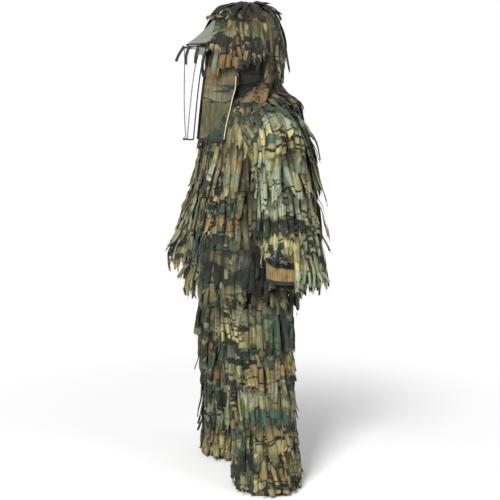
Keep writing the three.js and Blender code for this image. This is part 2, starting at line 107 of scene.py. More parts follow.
def smooth(rows):
    """A monotone cubic through rows of (x, values...)."""
    rows = np.array(sorted(rows), float)
    x, y = rows[:, 0], rows[:, 1:]
    slope = np.diff(y, axis=0) / np.diff(x)[:, None]
    m = np.zeros_like(y)
    m[0], m[-1] = slope[0], slope[-1]
    for i in range(1, len(x) - 1):
        a, b = slope[i - 1], slope[i]
        m[i] = np.where(a * b > 0, 2 * a * b / np.where(np.abs(a + b) < 1e-9, 1, a + b), 0)

    def f(v):
        v = np.clip(np.asarray(v, float), x[0], x[-1])
        i = np.clip(np.searchsorted(x, v, side="right") - 1, 0, len(x) - 2)
        w = x[i + 1] - x[i]
        t = ((v - x[i]) / w)[..., None]
        w = w[..., None]
        return ((2 * t**3 - 3 * t**2 + 1) * y[i] + (t**3 - 2 * t**2 + t) * w * m[i]
                + (3 * t**2 - 2 * t**3) * y[i + 1] + (t**3 - t**2) * w * m[i + 1])
    return f


def arrays(*values):
    return np.broadcast_arrays(*(np.asarray(v, float) for v in values))


def unit(a):
    return a / np.maximum(np.linalg.norm(a, axis=-1, keepdims=True), 1e-9)


def arc_length(points):
    return np.concatenate([[0], np.cumsum(np.linalg.norm(np.diff(points, axis=0), axis=1))])


# A surface is a function of u and v. It also says which way v runs downwards, the lowest v, below which
# strips drop straight, and its centre line.

def axis_centre(p):
    return p * (0, 0, 1)


def ring_surface(rows, power, low):
    """Surface of a section table: u is the angle, v the height."""
    table = smooth(rows)

    def f(u, v):
        u, v = arrays(u, v)
        rx, front, back = np.moveaxis(table(v), -1, 0)
        c, s = np.cos(u), np.sin(u)
        x = np.sign(c) * rx * np.abs(c) ** (2 / power)
        y = np.sign(s) * np.where(s < 0, front, back) * np.abs(s) ** (2 / power)
        return np.stack([x, y, v - WAIST], -1)
    f.down, f.low, f.centre = -1, low, axis_centre
    return f


# From the hood out over the shoulders, where the lowest hood strips lie.
CAPE = HOOD + [
    (1.400, 0.210, 0.152, 0.196), (1.455, 0.207, 0.130, 0.188), (1.475, 0.180, 0.112, 0.172),
    (1.492, 0.140, 0.104, 0.152), (1.515, 0.114, 0.106, 0.132),
]
cape = ring_surface(CAPE, 2.35, 1.400)
torso = ring_surface(TORSO, 2.7, 0.790)
hood = ring_surface(HOOD, 2.15, 1.557)


def leg_surface(side, sign):
    """u is -1..1 from the outer seam round the front (negative) or back (positive) to the inner seam."""
    table = smooth(LEG)

    def f(u, v):
        u, v = arrays(u, v)
        cx, rx, ry = np.moveaxis(table(v), -1, 0)
        a = u * (half_pi + np.arcsin(np.clip(cx / rx, 0, 1)))
        x = GAP + np.maximum(cx + rx * np.cos(a), 0)
        return np.stack([sign * x, np.interp(v, *LEG_SWAY[side]) + ry * np.sin(a), v - WAIST], -1)

    def centre(p):
        h = p[..., 2] + WAIST
        x = sign * np.minimum(table(h)[..., 0], 0.2)
        return np.stack([x, np.interp(h, *LEG_SWAY[side]), p[..., 2]], -1)
    f.down, f.low, f.centre = -1, 0.0, centre
    return f


def sleeve_surface(side, sign):
    """u is the angle from the outer side, v the distance from the armhole."""
    table, sway = smooth(SLEEVE), smooth(ARM_SWAY[side])

    def f(u, v):
        u, v = arrays(u, v)
        phi = np.clip(v / BEND, 0, half_pi)
        h = BEND_H - np.maximum(v - BEND_LENGTH, 0)
        cx, r = np.moveaxis(table(h), -1, 0)
        cy = ARMHOLE_Y + (sway(h)[..., 0] - ARMHOLE_Y) * np.sin(phi) ** 2
        reach = BEND + r * np.cos(u)
        bent = v < BEND_LENGTH
        x = np.where(bent, ARMHOLE_X + reach * np.sin(phi), cx + r * np.cos(u))
        z = np.where(bent, BEND_H + reach * np.cos(phi), h)
        return np.stack([sign * x, cy + r * np.sin(u), z - WAIST], -1)

    def centre(p):
        h = p[..., 2] + WAIST
        high = h > BEND_H
        x = np.where(high, ARMHOLE_X + BEND * 0.7, table(h)[..., 0])
        y = np.where(high, ARMHOLE_Y * 0.75 + p[..., 1] * 0.25, sway(h)[..., 0])
        z = np.where(high, np.minimum(p[..., 2], BEND_H + BEND * 0.7 - WAIST), p[..., 2])
        return np.stack([sign * x, y, z], -1)
    f.down, f.low, f.centre = 1, along(SLEEVE_END), centre
    return f


def along(h):
    """The sleeve's v at a height below its bend."""
    return BEND_LENGTH + BEND_H - h


def normals(surface, u, v):
    """Normals that point away from the surface's centre line."""
    e = 1e-4
    n = unit(np.cross(surface(u + e, v) - surface(u - e, v), surface(u, v + e) - surface(u, v - e)))
    p = surface(u, v)
    flip = np.sign(np.sum(n * (p - surface.centre(p)), -1, keepdims=True))
    return n * np.where(flip == 0, 1, flip)


def dropped(surface, u, v):
    """Points at u and v that drop straight below the surface's lowest row, and which of them lie on it."""
    on = v * -surface.down >= surface.low * -surface.down
    p = surface(u, np.where(on, v, surface.low))
    p[:, 2] -= np.where(on, 0, np.abs(v - surface.low))
    return p, on


# ------------------------------------------------------------------ mesh helpers

def mesh_object(name, verts, faces, uv=None, tone=None, smooth_shade=True):
    me = bpy.data.meshes.new(name)
    me.from_pydata([tuple(map(float, p)) for p in verts], [], [tuple(map(int, f)) for f in faces])
    me.validate()
    if uv is not None:
        layer = me.uv_layers.new(name="Cloth")
        loops = np.empty(len(me.loops), np.int32)
        me.loops.foreach_get("vertex_index", loops)
        layer.data.foreach_set("uv", np.asarray(uv, np.float32)[loops].ravel())
    if tone is not None:
        a = me.attributes.new("tone", "FLOAT", "POINT")
        a.data.foreach_set("value", np.asarray(tone, np.float32))
    me.polygons.foreach_set("use_smooth", [smooth_shade] * len(me.polygons))
    me.update()
    obj = bpy.data.objects.new(name, me)
    bpy.context.collection.objects.link(obj)
    return obj


def dress(obj, material, body=None, nodes=()):
    obj.data.materials.clear()
    obj.data.materials.append(material)
    if body:
        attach(obj, body)
    if nodes:
        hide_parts(*nodes)
    return obj


def declare(obj, width, length, held="hung", rests=()):
    """Works out the area a panel's outline leaves of a sheet cut to width by length, and keeps nothing."""
    area = sum(p.area for p in obj.data.polygons)
    if area > width * length:
        length = area / width
    area = max(area, 0.31 * width * length)


def panel(obj, material, body=None, nodes=(), slot="base_cloth", slack=(1, 1), **more):
    """Works out a sheet's area at its measured size, with some slack, and dresses it."""
    declare(obj, obj["width"] * slack[0], obj["length"] * slack[1], **more)
    return dress(obj, material, body, nodes)


def bend(obj):
    """Bakes a piece's placement into its mesh."""
    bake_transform(obj)


def grid_faces(nu, nv, closed):
    faces = []
    for j in range(nv - 1):
        for i in range(nu if closed else nu - 1):
            k = (i + 1) % nu
            faces.append((j * nu + i, j * nu + k, (j + 1) * nu + k, (j + 1) * nu + i))
    return faces


def cloth_grid(name, points, shift=0.0, level=False):
    """A sheet through a grid of points, with cloth coordinates in metres. A level sheet takes its lengths
    from its middle column."""
    across, down = np.zeros((2,) + points.shape[:2])
    across[:, 1:] = np.cumsum(np.linalg.norm(np.diff(points, axis=1), axis=2), 1)
    down[1:] = np.cumsum(np.linalg.norm(np.diff(points, axis=0), axis=2), 0)
    nv, nu = down.shape
    if level:
        down = np.broadcast_to(down[:, [nu // 2]], down.shape)
    uv = np.stack([across + shift, down], -1).reshape(-1, 2)
    obj = mesh_object(name, points.reshape(-1, 3), grid_faces(nu, nv, False), uv)
    obj["width"], obj["length"] = float(across.max()), float(down.max())
    return obj


def wobble(p, scale, seed):
    return noise.noise(Vector(p) * scale + Vector((seed, seed * 0.37, -seed)))


def cloth_shell(name, surface, us, vs, seed, crease=0.006, inset=0.0015):
    """A panel of the garment's base cloth with soft creases pressed into it."""
    uu, vv = np.meshgrid(us, vs)
    p = surface(uu, vv)
    n = normals(surface, uu, vv)
    broad, fine = np.array((1, 1, 1.9)), np.array((1, 1, 2.6))
    bump = np.array([0.55 * wobble(q * broad, 9, seed) + 0.45 * abs(wobble(q * fine, 23, seed + 5))
                     for q in p.reshape(-1, 3)]).reshape(uu.shape + (1,))
    return cloth_grid(name, p - n * inset + n * crease * (bump - 0.35), seed * 0.7, level=True)


def cut(obj, inside):
    """Deletes the faces whose centres lie inside an opening."""
    bm = bmesh.new()
    bm.from_mesh(obj.data)
    drop = [f for f, p in zip(bm.faces, obj.data.polygons) if inside(p.center)]
    bmesh.ops.delete(bm, geom=drop, context="FACES")
    bm.to_mesh(obj.data)
    bm.free()


def box_of(node):
    """Low corner, high corner, centre and half-sizes of a CAD node's box."""
    lo, hi = (np.array(c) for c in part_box(node))
    return lo, hi, (lo + hi) / 2, (hi - lo) / 2


def cloth_ring(name, node, profile, count, depth=0.0, folds=(0, 0, 0), radius=None, skew=0.0):
    """A closed band in a CAD node's place. Its profile has (change of radius, height) points; folds gather
    it, and skew moves its top back against its bottom."""
    lo, hi, c, r = box_of(node)
    rx, ry = r[:2] - 0.001 if radius is None else (radius, radius)
    ang = np.arange(count) / count * 2 * pi
    many, sway, few = folds
    gather = depth * np.sin(ang * many + sway * np.sin(ang * few))
    rows, uvs = [], []
    for dr, z in profile:
        cy = c[1] + skew * (z / (hi[2] - lo[2]) - 0.5)
        x, y = c[0] + (rx + dr + gather) * np.cos(ang), cy + (ry + dr + gather) * np.sin(ang)
        rows.append(np.stack([x, y, np.full(count, lo[2] + z)], -1))
        uvs.append(np.stack([ang * r[0], np.full(count, z)], -1))
    last = (len(profile) - 1) * count
    faces = grid_faces(count, len(profile), True)
    faces += [(last + i, last + (i + 1) % count, (i + 1) % count, i) for i in range(count)]
    return mesh_object(name, np.concatenate(rows), faces, np.concatenate(uvs))


# ------------------------------------------------------------------ hanging strips

class Strips:
    """Collects hanging strips of one piece. Strips of a row are cut from one printed cloth, so their
    texture coordinates run on from strip to strip; the cloth's offset changes from row to row."""

    STEPS, ACROSS = 13, 4
    EDGE_SHADE, ROOT_SHADE = 0.55, 0.66
    WIDEST = 0.445
    REAR, REAR_SPAN = 0.176, 0.048  # strips behind the suit are pressed in softly from here on
    CLOTH = 40  # each row is cut from somewhere on a cloth of this size
    SHORTEST = 0.02

    def __init__(self):
        self.v, self.f, self.uv, self.tone = [], [], [], []
        self.width = self.length = 0.0
        self.count = 0

    def add(self, points, faces, uv, tone):
        self.v.append(points.reshape(-1, 3))
        self.f.append(faces + self.count)
        self.uv.append(uv.reshape(-1, 2))
        self.tone.append(tone.reshape(-1))
        self.count += len(self.v[-1])

    def lay(self, centre, across, normal, half, uv0, tone, ends, camber):
        """One strip: centre line, across and normal vectors, half-widths and camber for each step."""
        n, m = len(centre), self.ACROSS + 1
        k = steps(-1, 1, m)
        run = arc_length(centre)
        down = unit(np.gradient(centre, axis=0))
        offset = half[:, None] * k[None]
        pts = (centre[:, None] + across[:, None] * offset[..., None]
               + normal[:, None] * (camber[:, None] * (1 - k[None] ** 2))[..., None])
        pts[-1] += down[-1] * ends[:, None]
        pts[-2] += down[-2] * ends[:, None] * 0.45
        uv = np.stack([uv0[0] + offset, uv0[1] + np.broadcast_to(run[:, None], offset.shape)], -1)
        # Darker towards the sides and under the row above, where the neighbours shade a strip.
        edge = self.EDGE_SHADE * np.abs(k[None]) ** 3
        root = self.ROOT_SHADE * np.maximum(0.0, 1 - steps(0, 1, n) / 0.45)[:, None]
        j, i = np.meshgrid(np.arange(n - 1), np.arange(m - 1), indexing="ij")
        a = j * m + i
        self.add(pts, np.stack([a, a + 1, a + m + 1, a + m], -1).reshape(-1, 4), uv, tone - edge - root)

    def thread(self, start, direction, side, length, uv0, tone):
        """A loose thread or narrow shred at a strip's frayed end."""
        n = 5
        t = steps(0, 1, n)[:, None]
        sag = side * rng.normal(0, 0.25) + np.array([0, 0, -0.2])
        c = start + direction * length * t + sag * length * t**2 * 0.5
        w = (0.0011 * (1 - 0.7 * t)) * side
        q = 2 * np.arange(n - 1)
        self.add(np.concatenate([c - w, c + w], 1), np.stack([q, q + 1, q + 3, q + 2], -1),
                 np.tile(uv0, (2 * n, 1)), np.full(2 * n, tone))

    def cut_end(self, kind, slant):
        """How far each point across a strip's end is cut longer or shorter."""
        k = steps(-1, 1, self.ACROSS + 1)
        if kind < 0.14:
            ends = -0.018 * np.abs(k)
        elif kind < 0.6:
            ends = slant * k
        elif kind < 0.75:
            ends = 0.012 * (np.abs(k) - 0.5)
        else:
            ends = 0.002 * k
        return ends + rng.normal(0, 0.0042, len(k))

    def row(self, surface, v_root, u_range, pitch=0.021, width=0.027, length=0.15, lift=(0.004, 0.017),
            tone=0.0, jitter=0.018, floor=None, curl=1.0, spread_tone=0.15, cloth=None,
            keep=lambda p, u, h: True, shorten=lambda p, u, h, length: length,
            puff=lambda p, u, h: 1.0, tone_of=lambda p, u, h: 0.0):
        """Strips rooted along the surface at v_root for u in u_range. The functions take a root's place."""
        dense = steps(*u_range, 400)
        arc = arc_length(surface(dense, np.full_like(dense, v_root)))
        n = max(2, int(round(arc[-1] / pitch)))
        places = (np.arange(n) + 0.5) / n * arc[-1] + rng.normal(0, pitch * 0.12, n)
        cloth = rng.uniform(0, self.CLOTH, 2) if cloth is None else cloth
        t = steps(0, 1, self.STEPS)
        for i, place in enumerate(places):
            u0 = float(np.interp(place, arc, dense))
            root = v_root - surface.down * rng.uniform(-jitter, jitter)
            p0 = surface(u0, root)
            at = (p0, u0, p0[2] + WAIST)
            draw = rng.normal(0, 1, 12)
            pick = rng.uniform(0, 1, 12)
            if not keep(*at):
                continue
            cut_length = shorten(*at, length * (1 + 0.17 * draw[0]))
            if cut_length < self.SHORTEST:
                continue
            w = width * (1 + 0.22 * draw[1]) * 0.5
            # The centre line follows the surface down, drifting sideways.
            vs = root + surface.down * steps(0, cut_length * 1.9, 60)
            s = t * cut_length
            v = np.interp(s, arc_length(dropped(surface, np.full(60, u0), vs)[0]), vs)
            girth = np.linalg.norm(surface(u0 + 0.01, root) - surface(u0 - 0.01, root)) / 0.02 + 1e-4
            drift = 0.065 * draw[2] * s + 0.004 * np.sin(s / cut_length * (2 + 2 * pick[1]) + 6 * pick[2]) * t
            u = u0 + drift / girth
            c, on = dropped(surface, u, v)
            nrm = normals(surface, u, np.where(on, v, surface.low + 1e-3 * -surface.down))
            nrm[:, 2] *= 0.6
            nrm = unit(nrm)
            tang = unit(np.gradient(c, axis=0))
            # It stands off the cloth, more towards its end, and curls.
            rise = lift[0] + (0.0026 * (i % 2) + 0.0022 * pick[1])
            rise = (rise + (lift[1] - lift[0]) * (1 + 0.35 * draw[3]) * t**0.8) * puff(*at)
            ripple = 0.0022 * np.sin(t * 9 * (0.5 + pick[3]) + 6 * pick[4])
            rise = rise + curl * 0.007 * draw[4] * t**3 + ripple
            c = c + nrm * np.maximum(rise, 0.0015)[:, None]
            across = unit(np.cross(nrm, tang))
            twist = np.clip(0.13 * draw[5] + 0.28 * draw[6] * t**1.4, -0.6, 0.6)[:, None]
            ax = across * np.cos(twist) + nrm * np.sin(twist)
            nx = nrm * np.cos(twist) - across * np.sin(twist)
            taper = 1 - (0.02 + 0.50 * pick[5] ** 2) * t**3
            half = w * taper * (1 + 0.07 * np.sin(t * 17 * pick[6] + 6 * pick[7]))
            half = half * (1 + 0.045 * rng.normal(0, 1, self.STEPS))
            ends = self.cut_end(pick[8], (0.004 + 0.008 * pick[0]) * np.sign(draw[7]))
            camber = (0.0042 + 0.0024 * draw[8]) * (0.8 + 0.35 * np.sin(t * 4 + 6 * pick[9]))
            if floor is not None:
                c[:, 2] = np.maximum(c[:, 2], floor + rng.uniform(0.004, 0.034) * t**4 + 0.012 * (1 - t))
                ends = np.minimum(ends, 0.0)
            # The strip's colour level: its tone, a random spread, and painted shade where the body shades it.
            shade = tone + spread_tone * draw[9] + tone_of(*at)
            uv0 = (cloth[0] + place, cloth[1])
            self.lay(c, ax, nx, half, uv0, shade, ends, camber)
            for _ in range(int(1 + 3 * pick[11]) if pick[10] < 0.55 else 0):
                a = rng.uniform(-0.9, 0.9)
                start = c[-1] + ax[-1] * half[-1] * a
                thread = rng.uniform(0.008, 0.026)
                if floor is None or start[2] - thread >= floor:
                    uv1 = (uv0[0] + half[-1] * a, uv0[1] + cut_length)
                    self.thread(start, tang[-1], ax[-1], thread, uv1, shade)
            self.width += 2 * w
            self.length = max(self.length, cut_length)

    def double(self, surface, v_root, u_range, length=0.165, lift=(0.004, 0.020), scale=1.0, tone=0.0, **more):
        """A row as it is sewn: a short dense layer underneath and a looser, longer one over it."""
        low, high = lift
        more["cloth"] = rng.uniform(0, self.CLOTH, 2)
        # The layer underneath is made darker, painted shade under the layer over it.
        self.row(surface, v_root - surface.down * 0.004, u_range, pitch=0.025 * scale, width=0.032 * scale,
                 length=length * 1.04, lift=(low, low + (high - low) * 0.45), tone=tone - 0.14, **more)
        self.row(surface, v_root, u_range, pitch=0.0225 * scale, width=0.0265 * scale, length=length,
                 lift=(low + 0.003, high), tone=tone + 0.04, **more)

    def hang(self, start, end, width, facing, tone=0.0, bow=0.010, cloth=None):
        """A single strip from start to end, bowed out along facing."""
        start, end, facing = (np.array(a, float) for a in (start, end, facing))
        start[2] -= WAIST
        end[2] -= WAIST
        t = steps(0, 1, self.STEPS)[:, None]
        facing = unit(facing)
        side = unit(np.cross(facing, end - start))
        pick = rng.normal(0, 1, 6)
        c = start + (end - start) * t + facing * (bow * np.sin(pi * t * 0.9))
        c = c + side * 0.003 * np.sin(t * 5 + pick[0])
        tang = unit(np.gradient(c, axis=0))
        twist = (0.15 * pick[1] + 0.3 * pick[2] * t**1.5).clip(-0.5, 0.5)
        ax = unit(np.cross(np.tile(facing, (self.STEPS, 1)), tang))
        ax, nx = ax * np.cos(twist) + facing * np.sin(twist), facing * np.cos(twist) - ax * np.sin(twist)
        half = width / 2 * (1 - 0.12 * t[:, 0] ** 3) * (1 + 0.04 * rng.normal(0, 1, self.STEPS))
        ends = rng.normal(0, 0.004, self.ACROSS + 1)
        camber = (0.12 + 0.05 * pick[3]) * width * np.ones(self.STEPS)
        cloth = rng.uniform(0, self.CLOTH, 2) if cloth is None else cloth
        self.lay(c, ax, nx, half, cloth, tone, ends, camber)
        self.width += width
        self.length = max(self.length, float(np.linalg.norm(end - start)) * 1.1)

    def build(self, name, material, body=None, nodes=(), slot="fringe_strips"):
        points = np.concatenate(self.v)
        over = np.maximum(points[:, 1] - self.REAR, 0) / self.REAR_SPAN
        points[:, 1] = np.minimum(points[:, 1], self.REAR) + self.REAR_SPAN * np.tanh(over)
        points[:, 2] = np.maximum(points[:, 2], 0.001 - WAIST)
        points[:, 0] = np.clip(points[:, 0], -self.WIDEST, self.WIDEST)
        obj = mesh_object(name, points, *(np.concatenate(a) for a in (self.f, self.uv, self.tone)))
        dress(obj, material, body, nodes)
        declare(obj, self.width, self.length * 1.05)
        return obj


# ------------------------------------------------------------------ materials

def srgb(r, g, b):
    def one(c):
        c = c / 255
        return c / 12.92 if c <= 0.04045 else ((c + 0.055) / 1.055) ** 2.4
    return (one(r), one(g), one(b), 1)


def scaled(colour, factor, lift=0.0):
    return tuple(min(1, c * factor + lift) for c in colour[:3]) + (1,)


class Nodes:
    """Short-hand for building a node tree."""

    def __init__(self, name):
        self.mat = bpy.data.materials.new(name)
        self.mat.use_nodes = True
        self.tree = self.mat.node_tree
        self.tree.nodes.clear()
        self.out = self.tree.nodes.new("ShaderNodeOutputMaterial")

    def new(self, kind, **inputs):
        """A node. Its inputs are named, or numbered i0, i1 and so on."""
        node = self.tree.nodes.new(kind)
        for key, value in inputs.items():
            if hasattr(node, key):
                setattr(node, key, value)
                continue
            socket = node.inputs[int(key[1:])] if key[0] == "i" and key[1:].isdigit() else node.inputs[key]
            if isinstance(value, bpy.types.NodeSocket):
                self.tree.links.new(value, socket)
            else:
                socket.default_value = value
        return node

    def math(self, op, a, b=0.0, c=0.0):
        return self.new("ShaderNodeMath", operation=op, i0=a, i1=b, i2=c).outputs[0]

    def mix(self, fac, a, b):
        return self.new("ShaderNodeMix", data_type="RGBA", i0=fac, i6=a, i7=b).outputs[2]

    def noise(self, vector, scale, detail=2.0, rough=0.5):
        return self.new("ShaderNodeTexNoise", Vector=vector, Scale=scale, Detail=detail,
                        Roughness=rough).outputs[0]

    def edge(self, value, low, high):
        return self.new("ShaderNodeMapRange", interpolation_type="SMOOTHSTEP", i0=value, i1=low,
                        i2=high).outputs[0]

    def shift(self, vector, offset, scale=(1, 1, 1)):
        return self.new("ShaderNodeMapping", Vector=vector, Location=offset, Scale=scale).outputs[0]

    def stretch(self, vector, scale):
        return self.shift(vector, (0, 0, 0), scale)

    def cloth(self):
        """The cloth's own coordinates, in metres."""
        return self.new("ShaderNodeUVMap", uv_map="Cloth").outputs[0]

    def bands(self, vector, scale, direction):
        return self.new("ShaderNodeTexWave", Vector=vector, Scale=scale, wave_type="BANDS",
                        bands_direction=direction).outputs[1]

    def bump(self, strength, distance, height):
        return self.new("ShaderNodeBump", Strength=strength, Distance=distance, Height=height).outputs[0]

    def finish(self, shader):
        self.tree.links.new(shader.outputs[0], self.out.inputs[0])
        return self.mat

    def principled(self, colour, rough, sheen=0.0, **more):
        return self.new("ShaderNodeBsdfPrincipled", **{"Base Color": colour, "Roughness": rough,
                                                       "Sheen Weight": sheen, **more})


OLIVE, KHAKI, OCHRE = srgb(116, 114, 70), srgb(168, 158, 108), srgb(154, 124, 74)
DEEP, TEAL, SAGE = srgb(36, 44, 26), srgb(62, 86, 64), srgb(134, 142, 114)
MAUVE, SOOT, PALE, RUST = srgb(112, 108, 104), srgb(12, 13, 8), srgb(196, 188, 160), srgb(130, 92, 56)
WEAVE = 140.0


def camo(name, shade=1.0, sage=0.0, ochre=0.0, dark=0.0, teal=0.0, size=1.0, rough=0.8, bump=0.35, twigs=1.0,
         band=None):
    """Printed camouflage cloth. The weights move each colour's share up or down."""
    m = Nodes(name)
    uv = m.cloth()
    wander = m.new("ShaderNodeTexNoise", Vector=uv, Scale=14.0, Detail=3.0).outputs[1]
    spot = m.new("ShaderNodeVectorMath", operation="MULTIPLY_ADD", i0=wander, i1=(0.05, 0.04, 0), i2=uv)
    spot = spot.outputs[0]
    p = m.stretch(spot, (0.34 / size, 0.80 / size, 1))

    def cover(col, seed, scale, level, colour, soft=0.05, stretch=(1, 1, 1)):
        field = m.noise(m.shift(p, (seed, seed * 2.3, 0), stretch), scale, 3.0)
        return m.mix(m.edge(field, level, level + soft), col, colour)

    col = m.mix(m.edge(m.noise(p, 10.0, 3.0), 0.44, 0.62), OLIVE, KHAKI)
    col = cover(col, 3.1, 11.0, 0.56 - 0.05 * sage, SAGE)
    col = cover(col, 9.3, 9.0, 0.56 - 0.05 * ochre, OCHRE, 0.08)
    col = cover(col, 5.3, 12.0, 0.66 - 0.04 * ochre, RUST, 0.06)
    col = cover(col, 1.7, 10.0, 0.57 - 0.05 * teal, TEAL)
    col = cover(col, 4.4, 12.0, 0.65, MAUVE)
    col = cover(col, 7.7, 10.0, 0.575 - 0.05 * dark, DEEP, 0.04)
    col = cover(col, 8.1, 15.0, 0.69, PALE)
    twig_at = m.noise(m.shift(p, (2.2, 6.1, 0), (0.6, 1.3, 1)), 12.0, 3.0)
    twig = m.math("ABSOLUTE", m.math("SUBTRACT", twig_at, 0.5))
    gate = m.edge(m.noise(m.shift(p, (11.0, 3.0, 0)), 9.0), 0.44, 0.52)
    line = m.math("MULTIPLY", m.edge(twig, 0.030, 0.010), gate)
    col = m.mix(m.math("MULTIPLY", line, twigs), col, SOOT)
    col = cover(col, 6.6, 15.0, 0.635 - 0.03 * dark, SOOT, 0.03, (0.8, 1.4, 1))
    if band is not None:
        # A dark curved band and a warm field under it, across the cloth's length.
        axes = m.new("ShaderNodeSeparateXYZ", Vector=spot).outputs
        curve = m.math("MULTIPLY", m.math("SINE", m.math("MULTIPLY", axes[0], 14.0)), 0.012)
        place = m.math("SUBTRACT", m.math("SUBTRACT", axes[1], band), curve)
        col = m.mix(m.math("MULTIPLY", m.edge(place, 0.010, 0.018), 0.92), col, OCHRE)
        col = m.mix(m.edge(m.math("ABSOLUTE", place), 0.013, 0.009), col, SOOT)
    # Fading, streaks of painted fold shade and highlight, and the strips' tone with its painted shade.
    tone = m.new("ShaderNodeAttribute", attribute_name="tone").outputs["Fac"]
    fold_shading = m.edge(m.noise(m.stretch(uv, (1, 0.07, 1)), 150.0, 2.0), 0.33, 0.62)
    value = m.math("MULTIPLY_ADD", fold_shading, 0.75, m.math("MULTIPLY", m.noise(uv, 55.0, 3.0), 0.5))
    value = m.math("MULTIPLY", m.math("ADD", value, 0.42), m.math("MAXIMUM", m.math("ADD", tone, 1.0), 0.12))
    value = m.math("MULTIPLY", value, shade)
    col = m.new("ShaderNodeVectorMath", operation="SCALE", i0=col, Scale=value).outputs[0]
    yarn = m.math("MULTIPLY", m.bands(uv, WEAVE, "X"), m.bands(uv, WEAVE, "Y"))
    crumple = m.noise(m.stretch(uv, (1, 0.3, 1)), 90.0, 4.0, 0.6)
    relief = m.bump(bump, 0.004, m.math("MULTIPLY_ADD", yarn, 0.12, crumple))
    col = m.mix(m.math("MULTIPLY", yarn, 0.18), col, (0.01, 0.01, 0.006, 1))
    more = {"Sheen Roughness": 0.5, "Specular IOR Level": 0.35}
    return m.finish(m.principled(col, rough, 0.08, Normal=relief, **more))


def plain(name, colour, rough=0.8, weave=1400.0, bump=0.3, metal=0.0, sheen=0.2, spread=0.35, woven=True):
    """Plain woven or moulded surface with fine relief and uneven tone."""
    m = Nodes(name)
    uv = m.cloth() if woven else m.new("ShaderNodeTexCoord").outputs["Object"]
    col = m.mix(m.noise(uv, 45.0, 4.0, 0.6), scaled(colour, 1 - spread), scaled(colour, 1 + spread, 0.004))
    fine = m.noise(uv, 400.0, 3.0)
    relief = m.bump(bump, 0.001, m.math("MULTIPLY_ADD", m.bands(uv, weave / 6.28, "DIAGONAL"), 0.5, fine))
    uneven = m.math("MULTIPLY_ADD", fine, 0.2, rough - 0.1)
    return m.finish(m.principled(col, uneven, sheen, Normal=relief, Metallic=metal))


def net(name, colour, cover):
    """Sheer net: part see-through, with faint folds and thread tone."""
    m = Nodes(name)
    soft = m.noise(m.stretch(m.cloth(), (1, 0.4, 1)), 22.0, 3.0, 0.6)
    col = m.mix(soft, scaled(colour, 0.8), scaled(colour, 1.1))
    return m.finish(m.principled(col, 0.7, 0.2, Alpha=m.math("MULTIPLY_ADD", soft, cover, cover * 0.5)))


M_BODY = camo("camo_body", shade=0.54, dark=0.4, teal=0.5, sage=0.4, ochre=0.5)
M_SLEEVE = camo("camo_sleeve", shade=0.70, sage=1.3, dark=0.1)
M_SHOULDER = camo("camo_shoulder", shade=0.40, teal=2.4, dark=0.8)
M_LEG = camo("camo_leg", shade=0.55, dark=0.6, teal=0.6, sage=0.5, ochre=0.5)
M_HOOD = camo("camo_hood", shade=0.40, dark=0.9, ochre=0.9, teal=0.4)
M_TEMPLE = camo("camo_temple", shade=0.40, teal=2.0, dark=0.8, ochre=-0.4, size=0.6)
M_CROWN = camo("camo_crown", shade=0.15, dark=2.6, teal=1.0)
M_FLAP = camo("camo_flap", shade=0.25, ochre=-0.4, dark=-0.2, teal=-0.6, size=0.9, bump=0.2, rough=0.7)
# Painted shade: the base cloth under the strips is made near black, so the gaps between strips look dark.
M_SHADED_BASE = camo("camo_base_shade", shade=0.06, dark=1.0)
# Painted shade: the cloth of the hollows in the hood and neck is darker still.
M_HOLLOW_SHADE = camo("camo_hollow_shade", shade=0.028, dark=1.0)
M_CUFF = camo("camo_cuff", shade=0.50, ochre=3.0, dark=-0.6, teal=-2.0, bump=0.25, band=0.092)
M_HEM = camo("camo_hem", shade=0.34, teal=2.2, dark=1.4, ochre=-0.5)
M_RUST = camo("camo_warm", shade=0.34, ochre=4.0, dark=-1.0, teal=-2.0, sage=-2.0)
M_SASH = camo("camo_sash", shade=0.44, ochre=2.5, dark=-0.5, teal=-1.0)
M_PALE_CLOTH = camo("camo_pale", shade=0.42, sage=4.0, dark=-3.0, teal=-3.0, ochre=-2.0, twigs=0.2)
M_TRIM = plain("black_binding", srgb(13, 13, 12), 0.75, sheen=0.04)
M_PALE = plain("pale_edge_tape", srgb(176, 168, 132), 0.8)
M_ELASTIC = plain("ribbed_elastic", srgb(40, 40, 34), 0.85, weave=1900.0, bump=0.6)
M_VEIL = net("clear_veil_net", srgb(236, 232, 232), 0.16)
M_VISOR = net("visor_net", srgb(108, 116, 102), 0.85)
M_GAUZE = net("crown_gauze", srgb(190, 194, 184), 0.35)
M_METAL = plain("zip_metal", srgb(58, 58, 55), 0.42, metal=0.8, sheen=0.0, bump=0.08, woven=False)
M_PLASTIC = plain("zip_plastic", srgb(30, 30, 27), 0.5, sheen=0.0, bump=0.1, woven=False)


# ------------------------------------------------------------------ trousers

# The under-layer's darker tone is painted shade between the rows.
UNDER = dict(pitch=0.026, width=0.031, tone=-0.2)  # a darker layer that shows between the rows
LEG_ROWS = (  # height of the root, strip length, the piece it belongs to, whether it is an under-layer
    (0.800, 0.150, "thigh", True), (0.720, 0.170, "thigh", False), (0.640, 0.165, "knee", True),
    (0.560, 0.170, "knee", False), (0.480, 0.165, "shin", True), (0.425, 0.165, "shin", False),
    (0.335, 0.165, "shin", False), (0.245, 0.165, "shin", False), (0.165, 0.150, "shin", False),
    (0.095, 0.088, "shin", False),
)
HEM_PROFILE = ((-0.004, 0.030), (0.0, 0.030), (0.0004, 0.022), (-0.0008, 0.015), (0.0004, 0.008),
               (0.0, 0.0005), (-0.0025, 0.0), (-0.0045, 0.0005), (-0.005, 0.028))
WAIST_PROFILE = ((-0.007, 0.001), (-0.0075, 0.012), (-0.0068, 0.024), (-0.0055, 0.0345), (-0.003, 0.0362),
                 (-0.001, 0.034), (-0.0002, 0.024), (-0.0012, 0.018), (-0.0002, 0.012), (-0.0008, 0.001))


def clear_inner(p, u, h):
    return abs(p[0]) > 0.016 + rng.uniform(0, 0.008)


